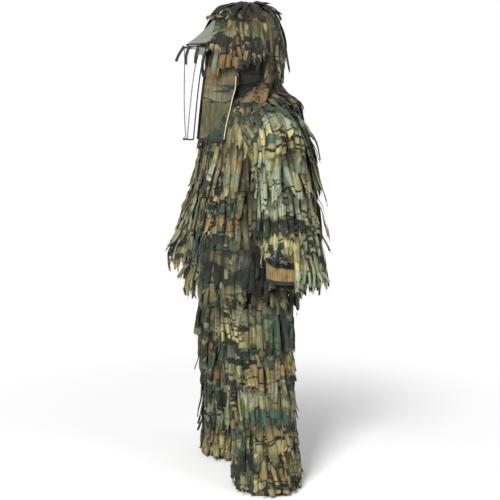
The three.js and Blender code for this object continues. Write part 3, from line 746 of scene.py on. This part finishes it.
for side, sign in SIDES:
    surf, shin = leg_surface(side, sign), f"{side}_shin"
    for face, d in (("front", -1), ("back", 1)):
        us, vs = steps(0.004, 0.996, 26) * d, steps(1.003, 0.0305, 90)
        leg = cloth_shell(f"{side}_leg_{face}_cloth", surf, us, vs, 3 + d + sign)
        panel(leg, M_SHADED_BASE, None, (f"{side}_thigh_{face}", f"{side}_shin_{face}"))
        bend(leg)
    groups = {"thigh": Strips(), "knee": Strips(), "shin": Strips()}
    for h, length, group, under in LEG_ROWS:
        layout = dict(length=length, keep=clear_inner, floor=-WAIST)
        if under:
            groups[group].row(surf, h, (-0.985, 0.985), lift=(0.002, 0.009), **layout, **UNDER)
        else:
            groups[group].double(surf, h, (-0.985, 0.985), lift=(0.004, 0.022), **layout)
    groups["thigh"].build(f"{side}_thigh_strips", M_LEG, "trousers", (f"{side}_thigh_fringe",))
    bend(groups["knee"].build(f"{side}_knee_strips", M_LEG))
    groups["shin"].build(f"{side}_shin_strips", M_LEG, shin, (f"{side}_shin_fringe",))
    # Turned-up hem band with its elastic gathering.
    band = cloth_ring(f"{side}_hem_band_cloth", f"{side}_hem_band", HEM_PROFILE, 96, 0.0012, (47, 3, 5))
    dress(band, M_SHADED_BASE, shin, (f"{side}_hem_band",))

# Waistband, folded over its elastic, gathered all round.
band = cloth_ring("waistband_cloth", "waistband", WAIST_PROFILE, 160, 0.0016, (61, 2, 7))
dress(band, M_SHADED_BASE, "trousers", ("waistband",))


# ------------------------------------------------------------------ jacket body

ZIP_LANE = 0.022  # no strips this close to the zip
TORSO_ROWS = ((1.447, 0.165), (1.318, 0.168), (1.187, 0.168), (1.066, 0.168), (0.978, 0.160), (0.915, 0.150))


def in_armhole(p):
    return math.hypot(p.y - ARMHOLE_Y, p.z + WAIST - ARMHOLE_H) < ARMHOLE_R and abs(p.x) > 0.15


def torso_puff(p, u, h):
    """The strips stand off most over the upper back, and lie flat in front under the cheek flaps."""
    if p[1] < -0.02 and h > 1.40:
        return 0.35
    return 1 + 1.3 * max(0.0, math.sin(u)) * max(0.0, min(1.0, (h - 1.2) / 0.2))


def torso_keep(p, u, h):
    """Clear of the zip, and thinned out under the arms."""
    if p[1] < 0 and abs(p[0]) < ZIP_LANE:
        return False
    return not (abs(p[1]) < 0.05 and 0.9 < h < 1.36 and rng.uniform() < 0.55)


def torso_shade(p, u, h):
    """Painted shade under the arms, where the arms shade the body, and a little darker towards the hem."""
    arm = max(0.0, 1 - abs(p[1] + 0.01) / 0.09) if h < 1.38 else 0.0
    return -0.65 * arm - 0.12 * max(0.0, min(1.0, (1.08 - h) / 0.1))


for node, u0, u1, columns in (("jacket_back", 0.003, pi - 0.003, 70),
                              ("jacket_front_left", -half_pi + 0.045, -0.003, 36),
                              ("jacket_front_right", -pi + 0.003, -half_pi - 0.045, 36)):
    shell = cloth_shell(node + "_cloth", torso, steps(u0, u1, columns), steps(1.503, 0.790, 78), 11 + columns)
    cut(shell, in_armhole)
    panel(shell, M_SHADED_BASE, "jacket", (node,))

parts = {"back": Strips(), "front_left": Strips(), "front_right": Strips()}
spans = {"back": (0.05, pi - 0.05), "front_left": (-half_pi + 0.02, 0.05),
         "front_right": (-pi - 0.05, -half_pi - 0.02)}
shoulders = Strips()
for h, length in ((1.500, 0.095), (1.478, 0.11)):
    shoulders.row(torso, h, (-half_pi + 0.12, 1.5 * pi - 0.12), length=length, keep=torso_keep, curl=0.4,
                  lift=(0.003, 0.012), jitter=0.004, puff=lambda p, u, h: 0.4 if p[1] < -0.02 else 1.0)
for h, length in TORSO_ROWS:
    for part, span in spans.items():
        parts[part].double(torso, h, span, length=length, keep=torso_keep, lift=(0.004, 0.026),
                           puff=torso_puff, tone_of=torso_shade, curl=0.6 if h > 1.2 else 1.0)
        if h > 1.1:
            parts[part].row(torso, h - 0.065, span, length=0.13, keep=torso_keep, lift=(0.002, 0.008),
                            **dict(UNDER, pitch=0.030))
# Long ragged strips hang from the hem, most of them in front and behind.
for part, span in (("front_left", (-half_pi + 0.1, -0.45)), ("front_right", (-pi + 0.45, -half_pi - 0.1)),
                   ("back", (0.35, pi - 0.35))):
    parts[part].row(torso, 0.905, span, pitch=0.040, width=0.024, length=0.185, lift=(0.006, 0.024),
                    tone=-0.35, jitter=0.01)
# A broad band of darker strips crosses the front of each side above the hem.
for side, span in (("left", (-1.15, -0.10)), ("right", (-pi + 0.10, -pi + 1.15))):
    hem = Strips()
    hem.double(torso, 0.935, span, length=0.158, lift=(0.022, 0.034), jitter=0.008, tone=0.05)
    hem.build(f"jacket_hem_{side}_strips", M_HEM, "jacket")
for part, group in parts.items():
    fringe = "jacket_fringe_" + part.replace("front_", "")
    group.build(f"jacket_{part}_strips", M_BODY, "jacket", (fringe,))
shoulders.build("jacket_shoulder_strips", M_SHOULDER, "jacket")


# ------------------------------------------------------------------ sleeves

CUFF_PROFILE = ((-0.0052, 0.0115), (-0.001, 0.0122), (0, 0.008), (-0.001, 0.006), (0, 0.004),
                (-0.001, 0.0003), (-0.0052, 0.001))
CUFF_R = 0.0838
SLEEVE_SLOT = "sleeve_strips"
# The left cuff's front is left bare; strips hang past it at the back, and all round the right one.
CUFF_KEEP = {"left": -0.05, "right": -2.0}


def sleeve_puff(p, u, h):
    """Behind the arm the strips stand well off the sleeve."""
    return 1 + 1.5 * max(0.0, math.sin(u)) ** 1.5


def sleeve_shade(p, u, h):
    """Painted shade on the side towards the body, which the body shades."""
    return -0.6 * max(0.0, -math.cos(u)) ** 0.7 if h < 1.33 else 0.0


for side, sign in SIDES:
    surf = sleeve_surface(side, sign)
    upper, lower = f"{side}_upper_sleeve", f"{side}_lower_sleeve"
    us, full = steps(0, 2 * pi, 49), (-pi, pi)
    tube = cloth_shell(f"{side}_sleeve_cloth", surf, us, steps(0.0005, along(SLEEVE_END), 96), 21 + sign)
    panel(tube, M_SHADED_BASE, None, (upper, lower))
    bend(tube)

    cap, joint, arm, shoulder = Strips(), Strips(), Strips(), Strips()
    puffed = dict(puff=sleeve_puff)
    shaded = dict(puff=sleeve_puff, tone_of=sleeve_shade)
    cap.row(surf, 0.004, (-2.6, 2.6), length=0.12, lift=(0.003, 0.012), jitter=0.004, tone=-0.1, **puffed)
    cap.double(surf, 0.020, (-2.6, 2.6), length=0.15, lift=(0.006, 0.026), jitter=0.004, **puffed)
    shoulder.row(surf, 0.012, (-1.9, 1.9), pitch=0.024, width=0.028, length=0.10, lift=(0.010, 0.028),
                 jitter=0.008)
    for v, length in ((0.072, 0.165), (0.122, 0.170)):
        cap.double(surf, v, full, length=length, lift=(0.004, 0.024), jitter=0.010, **shaded)
    joint.row(surf, along(1.235), full, length=0.15, lift=(0.003, 0.010), **UNDER)
    joint.double(surf, along(1.170), full, length=0.172, lift=(0.004, 0.024), **shaded)
    arm.row(surf, along(1.085), full, length=0.13, lift=(0.003, 0.010), **UNDER)
    arm.double(surf, along(1.050), full, length=0.120, lift=(0.004, 0.022), **shaded)
    for h, length in ((1.000, 0.165), (0.945, 0.125)):
        arm.double(surf, along(h), full, length=length, lift=(0.003, 0.022),
                   keep=lambda p, u, h: math.sin(u) > CUFF_KEEP[side], **puffed)
    arm.row(surf, along(0.985), (0.5, pi - 0.5), pitch=0.014, width=0.012, length=0.16, lift=(0.014, 0.022),
            tone=1.1, **puffed)
    if side == "left":
        frayed = Strips()
        (_, cx, _), cy = SLEEVE[0], ARM_SWAY[side][0][1]
        for a in steps(0.15, 1.45, 11) + rng.normal(0, 0.03, 11):
            inner, outer = 0.112, 0.128 + rng.uniform(0, 0.012)
            top = (cx + inner * math.cos(a), cy + inner * math.sin(a), 0.950 + rng.normal(0, 0.010))
            tip = (cx + outer * math.cos(a), cy + outer * math.sin(a), 0.838 + rng.normal(0, 0.012))
            frayed.hang(top, tip, rng.uniform(0.008, 0.017), (math.cos(a), math.sin(a), 0.1),
                        tone=rng.normal(0.5, 0.2), bow=0.004)
        frayed.build("left_cuff_pale_strips", M_PALE_CLOTH, lower, slot=SLEEVE_SLOT)
    shoulder.build(f"{side}_shoulder_strips", M_SHOULDER, upper, slot=SLEEVE_SLOT)
    cap.build(f"{side}_shoulder_cap_strips", M_SLEEVE, upper, (f"{upper}_fringe",), SLEEVE_SLOT)
    elbow = joint.build(f"{side}_elbow_strips", M_SLEEVE, slot=SLEEVE_SLOT)
    bend(elbow)
    arm.build(f"{side}_forearm_strips", M_SLEEVE, lower, (f"{lower}_fringe",), SLEEVE_SLOT)

    # Smooth cuff panel over the end of the sleeve, and its black elastic edge.
    cuff = cloth_shell(f"{side}_cuff_cloth", surf, us, steps(along(0.985), along(0.8515), 22), 31 + sign,
                       crease=0.005, inset=-0.004)
    panel(cuff, M_CUFF, lower)
    lo, hi, c, r = box_of(f"{side}_cuff_elastic")
    edge = cloth_ring(f"{side}_cuff_edge", f"{side}_cuff_elastic", CUFF_PROFILE, 72, radius=CUFF_R,
                      skew=-sign * (hi[1] - lo[1] - 2 * CUFF_R))
    dress(edge, M_TRIM, lower, (f"{side}_cuff_elastic",))


# ------------------------------------------------------------------ hood

def in_face_opening(p):
    return p[1] < -0.080 and p[2] + WAIST < 1.700


def hood_length(p, u, h, length):
    """Strips stop at the brow in front, over the visor; those beside the face hang over the flaps' tops."""
    front = -math.sin(u)
    if front > 0.72:
        return min(length, max(0.0, h - 1.792 + rng.uniform(-0.006, 0.008)))
    if -0.45 < front < 0.40:
        return min(length, max(0.0, h - 1.632 + rng.uniform(-0.022, 0.022)))
    return length


def hood_keep(p, u, h):
    return not (p[1] < -0.074 and h < 1.705)


def nape_keep(p, u, h):
    """Beside the face the lower rows are left out, which leaves the dark hollow behind the cheek flap."""
    return p[1] > 0.046 + rng.uniform(-0.01, 0.01)


def nape_puff(p, u, h):
    """The lowest strips fan out over the upper back."""
    return 1 + 0.7 * max(0.0, math.sin(u)) * max(0.0, min(1.0, (1.64 - h) / 0.1))


for node, u0 in (("hood_left", -half_pi), ("hood_right", half_pi)):
    shell = cloth_shell(node + "_cloth", hood, steps(u0, u0 + pi, 50), steps(1.8475, 1.557, 50), 51 + u0,
                        crease=0.004)
    cut(shell, in_face_opening)
    # The hood's own cloth is near black, painted shade of the hollow under its strips.
    panel(shell, M_HOLLOW_SHADE, "hood", (node, "hood_crown"))

hood_strips, nape, crown = Strips(), Strips(), Strips()
full = (-half_pi, 1.5 * pi)
for h, length, lift in ((1.838, 0.20, 0.020), (1.808, 0.21, 0.026), (1.745, 0.150, 0.024)):
    hood_strips.double(hood, h, full, length=length, lift=(0.004, lift), keep=hood_keep, shorten=hood_length,
                       jitter=0.010, scale=0.8)
for h, length in ((1.680, 0.165), (1.630, 0.165), (1.580, 0.165), (1.535, 0.130)):
    nape.double(cape, h, (-1.0, pi + 1.0), length=length, lift=(0.005, 0.020), keep=nape_keep, jitter=0.010,
                puff=nape_puff, curl=0.3, scale=0.9)
hood_strips.build("hood_strips", M_HOOD, "hood", ("hood_fringe_left", "hood_fringe_right"))
bend(nape.build("nape_strips", M_HOOD))

# Long dark strips beside the face, over the visor's ends; a warm patch and a pale strip hang under them.
TEMPLE_CLOTH = (7.4, 21.6)
for side, sign in SIDES:
    temple, warm, pale, sash = Strips(), Strips(), Strips(), Strips()
    for i in range(9):
        f = i / 8
        root = (sign * (0.070 + 0.030 * f), -0.118 + 0.090 * f, 1.806 - 0.010 * f)
        end = (sign * (0.106 + 0.016 * f + rng.normal(0, 0.002)), -0.158 + 0.125 * f,
               1.662 + rng.normal(0, 0.012) - 0.01 * f)
        temple.hang(root, end, 0.024, (sign, -0.35, 0.25), tone=rng.normal(-0.05, 0.12), bow=0.016,
                    cloth=(TEMPLE_CLOTH[0] + 0.021 * i, TEMPLE_CLOTH[1]))
    for i in range(4):
        y = -0.118 + 0.024 * i
        warm.hang((sign * 0.119, y, 1.690), (sign * 0.119, y - 0.004, 1.616 + rng.normal(0, 0.006)), 0.027,
                  (sign, -0.3, 0.1), tone=rng.normal(0, 0.08), bow=0.006, cloth=(3.0 + 0.023 * i, 7.0))
    for y, width in ((-0.142, 0.020), (-0.128, 0.012)):
        pale.hang((sign * 0.112, y, 1.676), (sign * 0.110, y - 0.006, 1.588), width, (sign, -0.5, 0.0),
                  tone=0.1, bow=0.004)
    # Broad ochre strips run slantwise from under the hood across the front of the shoulder.
    for i in range(5):
        start = (sign * (0.122 - 0.003 * i), 0.066 - 0.018 * i, 1.590 - 0.016 * i)
        end = (sign * (0.190 - 0.008 * i), -0.002 - 0.022 * i, 1.424 - 0.004 * i)
        sash.hang(start, end, 0.030, (sign * 0.8, -0.5, 0.6), tone=rng.normal(0, 0.10), bow=0.012)
    temple.build(f"{side}_temple_strips", M_TEMPLE, "hood")
    warm.build(f"{side}_temple_patch", M_RUST, "hood", slot="camo_flap")
    pale.build(f"{side}_temple_pale_strips", M_PALE_CLOTH, "hood")
    sash.build(f"{side}_shoulder_sash_strips", M_SASH, "jacket")

crown.row(hood, 1.844, full, pitch=0.009, width=0.024, length=0.075, lift=(0.014, 0.022), jitter=0.002,
          spread_tone=0.1)
crown.build("hood_crown_tuft", M_CROWN, "hood")


def neck_surface(low, size, change, soft):
    """An upright tube whose half-sizes change over the 45 mm above low, evenly or softly."""
    def f(u, v):
        t = np.clip((v - low) / 0.045, 0, 1)
        t = t * t * (3 - 2 * t) if soft else t
        rx, ry = size[0] + change[0] * t, size[1] + change[1] * t
        return np.stack([rx * np.cos(u), ry * np.sin(u), v - WAIST], -1)
    f.centre = axis_centre
    return f


# Collar and gusset are near black too, painted shade of the hollow behind the flaps.
collar = cloth_shell("neck_band_cloth", neck_surface(1.500, (0.0955, 0.0915), (-0.006, -0.004), False),
                     steps(0, 2 * pi, 61), steps(1.545, 1.5035, 10), 61, crease=0.002, inset=0.001)
panel(collar, M_HOLLOW_SHADE, "jacket", ("neck_band",))
gusset = cloth_shell("hood_gusset_cloth", neck_surface(1.530, (0.0925, 0.0885), (0.009, 0.024), True),
                     steps(-1.15, pi + 1.15, 61), steps(1.575, 1.530, 12), 63, crease=0.004, inset=0.0)
bend(panel(gusset, M_HOLLOW_SHADE))


# ------------------------------------------------------------------ visor, flaps and veil

VISOR_ANGLE = math.radians(50)
RIM_H, RIM_HALF, VEIL_HALF, VEIL_TUCK = 1.706, 0.088, 0.066, 0.014
VEIL_TOP, VEIL_END, RIBBON_TOP = 1.693, 1.349, 1.698
FLAP_TOP, FLAP_END = 1.686, 1.345
FLAP_TUCK = {"left": 0.034, "right": 0.052}  # how far behind the veil's edge a flap's front edge lies
veil_side = smooth([(1.300, -0.240), (1.600, -0.204), (1.690, -0.182)])
veil_front = smooth([(1.345, -0.248), (1.500, -0.253), (1.650, -0.250), (1.697, -0.240)])
flap_edge = smooth([(1.345, 0.178, -0.131), (1.400, 0.177, -0.121), (1.450, 0.172, -0.108),
                    (1.500, 0.138, -0.088), (1.557, 0.110, -0.068), (1.690, 0.113, -0.062)])


def rim(u, h):
    return np.stack([RIM_HALF * u, -0.232 + 0.060 * u * u, h - WAIST], -1)


def visor_surface(u, v):
    u, v = arrays(u, v)
    brow = hood(u * VISOR_ANGLE - half_pi, 1.796 - 0.040 * u * u)
    grow = 1 + 0.010 / np.hypot(brow[..., 0], brow[..., 1])
    brow = brow * np.stack([grow, grow, np.ones_like(grow)], -1)
    p = brow + (rim(u, np.full_like(u, RIM_H)) - brow) * v[..., None]
    p[..., 2] -= 0.006 * np.sin(pi * v)
    return p


def veil_surface(u, h):
    u, h = arrays(u, h)
    front, edge = veil_front(h)[..., 0], veil_side(h)[..., 0] + VEIL_TUCK
    return np.stack([VEIL_HALF * u, front + (edge - front) * u * u, h - WAIST], -1)


def flap_surface(side, sign, u, h):
    x, back = np.moveaxis(flap_edge(h), -1, 0)
    front = veil_side(h)[..., 0] + FLAP_TUCK[side]
    return np.stack([sign * (x + (0.072 - x) * u), back + (front - back) * u, h - WAIST], -1)


def drape(obj, pins, frames, extra, cap):
    """Lets a hanging sheet settle with the cloth solver, held at its pins; no point moves further than
    cap."""
    me = obj.data
    start = np.array([v.co for v in me.vertices])
    group = obj.vertex_groups.new(name="pins")
    group.add([int(i) for i in pins], 1.0, "REPLACE")
    mod = obj.modifiers.new("cloth", "CLOTH")
    s = mod.settings
    s.quality = 6
    s.mass = 0.08
    s.tension_stiffness = s.compression_stiffness = 6.0
    s.shear_stiffness = 3.0
    s.bending_stiffness = 0.05
    s.vertex_group_mass = "pins"
    s.shrink_min = -extra
    mod.point_cache.frame_start, mod.point_cache.frame_end = 1, frames
    scene = bpy.context.scene
    for frame_number in range(1, frames + 1):
        scene.frame_set(frame_number)
    settled = obj.evaluated_get(bpy.context.evaluated_depsgraph_get())
    move = np.array([v.co for v in settled.to_mesh().vertices]) - start
    settled.to_mesh_clear()
    obj.modifiers.remove(mod)
    obj.vertex_groups.clear()
    scene.frame_set(1)
    move *= np.minimum(1, cap / np.maximum(np.linalg.norm(move, axis=1, keepdims=True), 1e-9))
    me.vertices.foreach_set("co", (start + move).astype(np.float32).ravel())
    me.update()
    return np.array([v.co for v in me.vertices])


def binding(name, points, width, thick, body, nodes=(), facing=(0, -1, 0), material=M_TRIM):
    """A folded tape along a line of points: a rounded flat bar. Facing is one direction, or one per point."""
    p = np.asarray(points, float)
    t = unit(np.gradient(p, axis=0))
    side = unit(np.cross(t, unit(np.broadcast_to(np.asarray(facing, float), p.shape))))
    face = unit(np.cross(side, t))
    half = [(-1, -0.5), (-0.6, -1), (0, -1.06), (0.6, -1), (1, -0.5)]
    prof = half + [(-a, -b) for a, b in half]
    n, k = len(p), len(prof)
    verts = np.stack([p + side * a * width / 2 + face * b * thick / 2 for a, b in prof], 1)
    uv = np.stack(np.broadcast_arrays(steps(0, 2 * width, k)[None], arc_length(p)[:, None]), -1)
    faces = grid_faces(k, n, True) + [tuple(range(k))[::-1], tuple((n - 1) * k + i for i in range(k))]
    obj = mesh_object(name, verts.reshape(-1, 3), faces, uv.reshape(-1, 2))
    return dress(obj, material, body, nodes)


# Visor: a sheer awning with a stiff rim.
visor = cloth_grid("visor_net", visor_surface(*np.meshgrid(steps(-1, 1, 33), steps(0, 1, 13))))
panel(visor, M_VISOR, "hood", ("visor",), "sheer_mesh", held="stretched")
rim_line = rim(steps(-1, 1, 41), np.full(41, RIM_H - 0.0032))
binding("visor_rim", rim_line, 0.004, 0.0026, "hood", ("visor_binding",))
for side, sign in SIDES:
    line = visor_surface(np.full(13, sign * 0.995), steps(0, 1, 13))
    binding(f"visor_{side}_edge", line, 0.003, 0.002, "hood", facing=(sign, 0, 0.2))

# Cheek flaps: smooth printed cloth, pale tape on the rear edge, dark hem.
nu, nv = 26, 66
index = np.arange(nu * nv).reshape(nv, nu)
pins = set(index[0]) | set(index[:, -1]) | {index[-1, 0]} | set(index[:18, 0])
for side, sign in SIDES:
    uu, vv = np.meshgrid(steps(0, 1, nu), steps(FLAP_TOP, FLAP_END + 0.0065, nv))
    flap = cloth_grid(f"{side}_cheek_flap_cloth", flap_surface(side, sign, uu, vv), 2.0 + sign)
    co = drape(flap, pins, 24, extra=0.035, cap=0.005).reshape(nv, nu, 3)
    panel(flap, M_FLAP, "hood", (f"{side}_cheek_flap",), "camo_flap", (1.02, 1.02), rests=("visor_net",))
    out = (sign, -0.6, 0)
    binding(f"{side}_flap_rear_tape", co[:, 0], 0.0035, 0.0022, "hood", (), out, M_PALE)
    low = co[-1] - (0, 0, 0.0005)
    binding(f"{side}_flap_hem_tape", low, 0.009, 0.0026, "hood", (f"{side}_flap_hem",), out)

# Veil: a clear net bound in black.
nu, nv = 44, 72
index = np.arange(nu * nv).reshape(nv, nu)
pins = set(index[0]) | set(index[:, 0]) | set(index[:, -1]) | set(index[-1, ::7])
uu, vv = np.meshgrid(steps(-0.985, 0.985, nu), steps(VEIL_TOP, VEIL_END, nv))
veil = cloth_grid("veil_net", veil_surface(uu, vv))
co = drape(veil, pins, 26, extra=0.03, cap=0.012).reshape(nv, nu, 3)
panel(veil, M_VEIL, "veil", ("veil_mesh",), "sheer_mesh", (1.03, 1.02), rests=("visor_rim",))
binding("veil_top_tape", co[0], 0.005, 0.0024, "veil", ("veil_top_binding",))
binding("veil_hem_tape", co[-1], 0.006, 0.0028, "veil", ("veil_hem_binding",))
for side, sign, column in (("right", -1.0, 0), ("left", 1.0, -1)):
    binding(f"veil_{side}_tape", co[:, column], 0.005, 0.0026, "veil", (f"veil_{side}_edge",), (sign, -0.4, 0))
binding("veil_centre_tape", co[:, nu // 2] + (0, -0.0016, 0), 0.006, 0.0022, "veil", ("veil_centre_binding",))
# The ribbons' places across the veil, lower ends and swing.
RIBBONS = ((0.16, 1.640, 0.020), (0.50, 1.628, 0.002), (0.82, 1.632, -0.002))
for number, (u, low, swing) in enumerate(RIBBONS, 1):
    t = steps(0, 1, 16)
    p = veil_surface(np.full(16, u), RIBBON_TOP + (low - RIBBON_TOP) * t)
    p[:, 1] -= 0.0055 + 0.003 * np.sin(t * 3.0) + swing * t**1.3
    ribbon = f"veil_ribbon_{number}"
    binding(ribbon + "_tape", p, 0.0125, 0.0014, "veil", (ribbon,), (0.7, -0.7, 0))

# Wisp of gauze standing off the crown.
t = steps(0, 1, 22)
arc = np.stack([0.012 + 0.01 * np.sin(t * 5), 0.020 + 0.085 * t, 1.852 - 0.055 * t**2.2 - WAIST], -1)
binding("crown_gauze_wisp", arc, 0.010, 0.0008, "hood", (), (0.4, 0, 1), M_GAUZE)


# ------------------------------------------------------------------ zip, hanging loop, waist elastic

COIL_PITCH = 0.004
SQUARE = ((-1, -1), (1, -1), (1, 1), (-1, 1))
CORNERS = [(x, y, end * (1 if y < 0 else 0.5)) for end in (-1, 1) for x, y in SQUARE]
QUADS = ((0, 3, 2, 1), (4, 5, 6, 7), (0, 1, 5, 4), (1, 2, 6, 5), (2, 3, 7, 6), (3, 0, 4, 7))
for node, material in (("zip_slider", M_METAL), ("zip_retainer_box", M_METAL), ("zip_pull_tab", M_PLASTIC)):
    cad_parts[node].data.materials.clear()
    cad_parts[node].data.materials.append(material)
for side, sign in SIDES:
    lo, hi, c, r = box_of(f"zip_tape_{side}")
    tilt = unit(np.array([0.0, -(hi[1] - lo[1] - 0.002), -(hi[2] - lo[2])]))
    top = np.array([sign * 0.006, hi[1] - 0.001, hi[2]])
    length = float(np.hypot(hi[1] - lo[1], hi[2] - lo[2]))
    line = top + tilt * steps(0.001, length - 0.001, 90)[:, None]
    binding(f"zip_tape_{side}_cloth", line, 0.0098, 0.0016, "jacket", (f"zip_tape_{side}",))
    # The coil: a row of small moulded loops along the tape's inner edge.
    out = np.cross(tilt, (1.0, 0, 0))
    out = unit(out) * (-1 if out[1] > 0 else 1)
    loop_axes = np.array([(0.0013, 0, 0), out * 0.0012, tilt * 0.0009])
    verts, faces = [], []
    for i in range(int(length / COIL_PITCH)):
        c = top + tilt * (0.003 + i * COIL_PITCH) + np.array([-sign * 0.0036, 0, 0]) + out * 0.0006
        faces += [tuple(len(verts) + k for k in q) for q in QUADS]
        verts += [c + np.array(corner) @ loop_axes for corner in CORNERS]
    coil = mesh_object(f"zip_coil_{side}", verts, faces, smooth_shade=False)
    dress(coil, M_PLASTIC, "jacket")
lo, hi, c, r = box_of("hanger_loop")
t = steps(0, 1, 17)
loop = np.stack([lo[0] + (hi[0] - lo[0]) * t, hi[1] - 0.0015 - 0.004 * np.sin(pi * t) ** 0.5,
                 c[2] - 0.004 * np.sin(pi * t)], -1)
binding("hanger_loop_tape", loop, 0.006, 0.0015, "jacket", ("hanger_loop",))
lo, hi, c, r = box_of("waist_elastic")
ang = steps(0, 2 * pi, 121)
ring = np.stack([(r[0] - 0.0014) * np.cos(ang), (r[1] - 0.0014) * np.sin(ang), np.full(121, c[2])], -1)
binding("waist_elastic_band", ring, 0.030, 0.0022, "trousers", ("waist_elastic",),
        np.stack([np.cos(ang), np.sin(ang), 0 * ang], -1), M_ELASTIC)


# ------------------------------------------------------------------ stage, light, camera

FLOOR_HALF = 8
floor_z = cad_box[0][2]
corners = [(x * FLOOR_HALF, y * FLOOR_HALF, floor_z) for x, y in SQUARE]
floor_obj = mesh_object("studio_floor", corners, [(0, 1, 2, 3)], smooth_shade=False)
fm = Nodes("studio_white")
place = fm.new("ShaderNodeTexCoord").outputs["Object"]
grey = fm.mix(fm.noise(place, 3.0), (0.86, 0.86, 0.86, 1), (0.88, 0.88, 0.88, 1))
fb = fm.principled(grey, 0.9)
# Seen by the camera, the floor fades into the white world around the suit.
away = fm.new("ShaderNodeVectorMath", operation="LENGTH", i0=fm.stretch(place, (1, 1, 0))).outputs["Value"]
fade = fm.math("MULTIPLY", fm.edge(away, 0.5, 1.9), fm.new("ShaderNodeLightPath").outputs["Is Camera Ray"])
glow = fm.new("ShaderNodeEmission", Strength=1.0)
floor_obj.data.materials.append(
    fm.finish(fm.new("ShaderNodeMixShader", Fac=fade, i1=fb.outputs[0], i2=glow.outputs[0])))

world = bpy.data.worlds.new("studio")
bpy.context.scene.world = world
world.use_nodes = True
sky = world.node_tree.nodes["Background"]
sky.inputs[0].default_value = (1, 1, 1, 1)
seen = world.node_tree.nodes.new("ShaderNodeLightPath")
level = world.node_tree.nodes.new("ShaderNodeMapRange")
level.inputs[3].default_value, level.inputs[4].default_value = 0.50, 1.0
world.node_tree.links.new(seen.outputs["Is Camera Ray"], level.inputs[0])
world.node_tree.links.new(level.outputs[0], sky.inputs[1])


def place_aimed(name, data, place, target):
    obj = bpy.data.objects.new(name, data)
    obj.location = place
    obj.rotation_euler = (Vector(target) - Vector(place)).to_track_quat("-Z", "Y").to_euler()
    bpy.context.collection.objects.link(obj)
    return obj


for name, place, target, size, power in (("key", (3.6, -2.6, 2.8), (0, 0, 0.1), 1.7, 380),
                                         ("fill", (3.0, 3.2, 1.6), (0, 0, 0), 3.0, 60)):
    lamp = bpy.data.lights.new(name, "AREA")
    lamp.size, lamp.energy = size, power
    place_aimed(name, lamp, place, target)

AZIMUTH, DISTANCE, EYE_H, AIM_H = math.radians(76), 3.5, 1.45, 0.924
cam_data = bpy.data.cameras.new("camera")
cam_data.sensor_width = 36
cam_data.lens = 64
cam_data.shift_x, cam_data.shift_y = 4 / 500, -4 / 500
eye = (DISTANCE * math.sin(AZIMUTH), -DISTANCE * math.cos(AZIMUTH), EYE_H - WAIST)
bpy.context.scene.camera = place_aimed("camera", cam_data, eye, (0, 0, AIM_H - WAIST))
bpy.context.scene.view_settings.view_transform = "Standard"
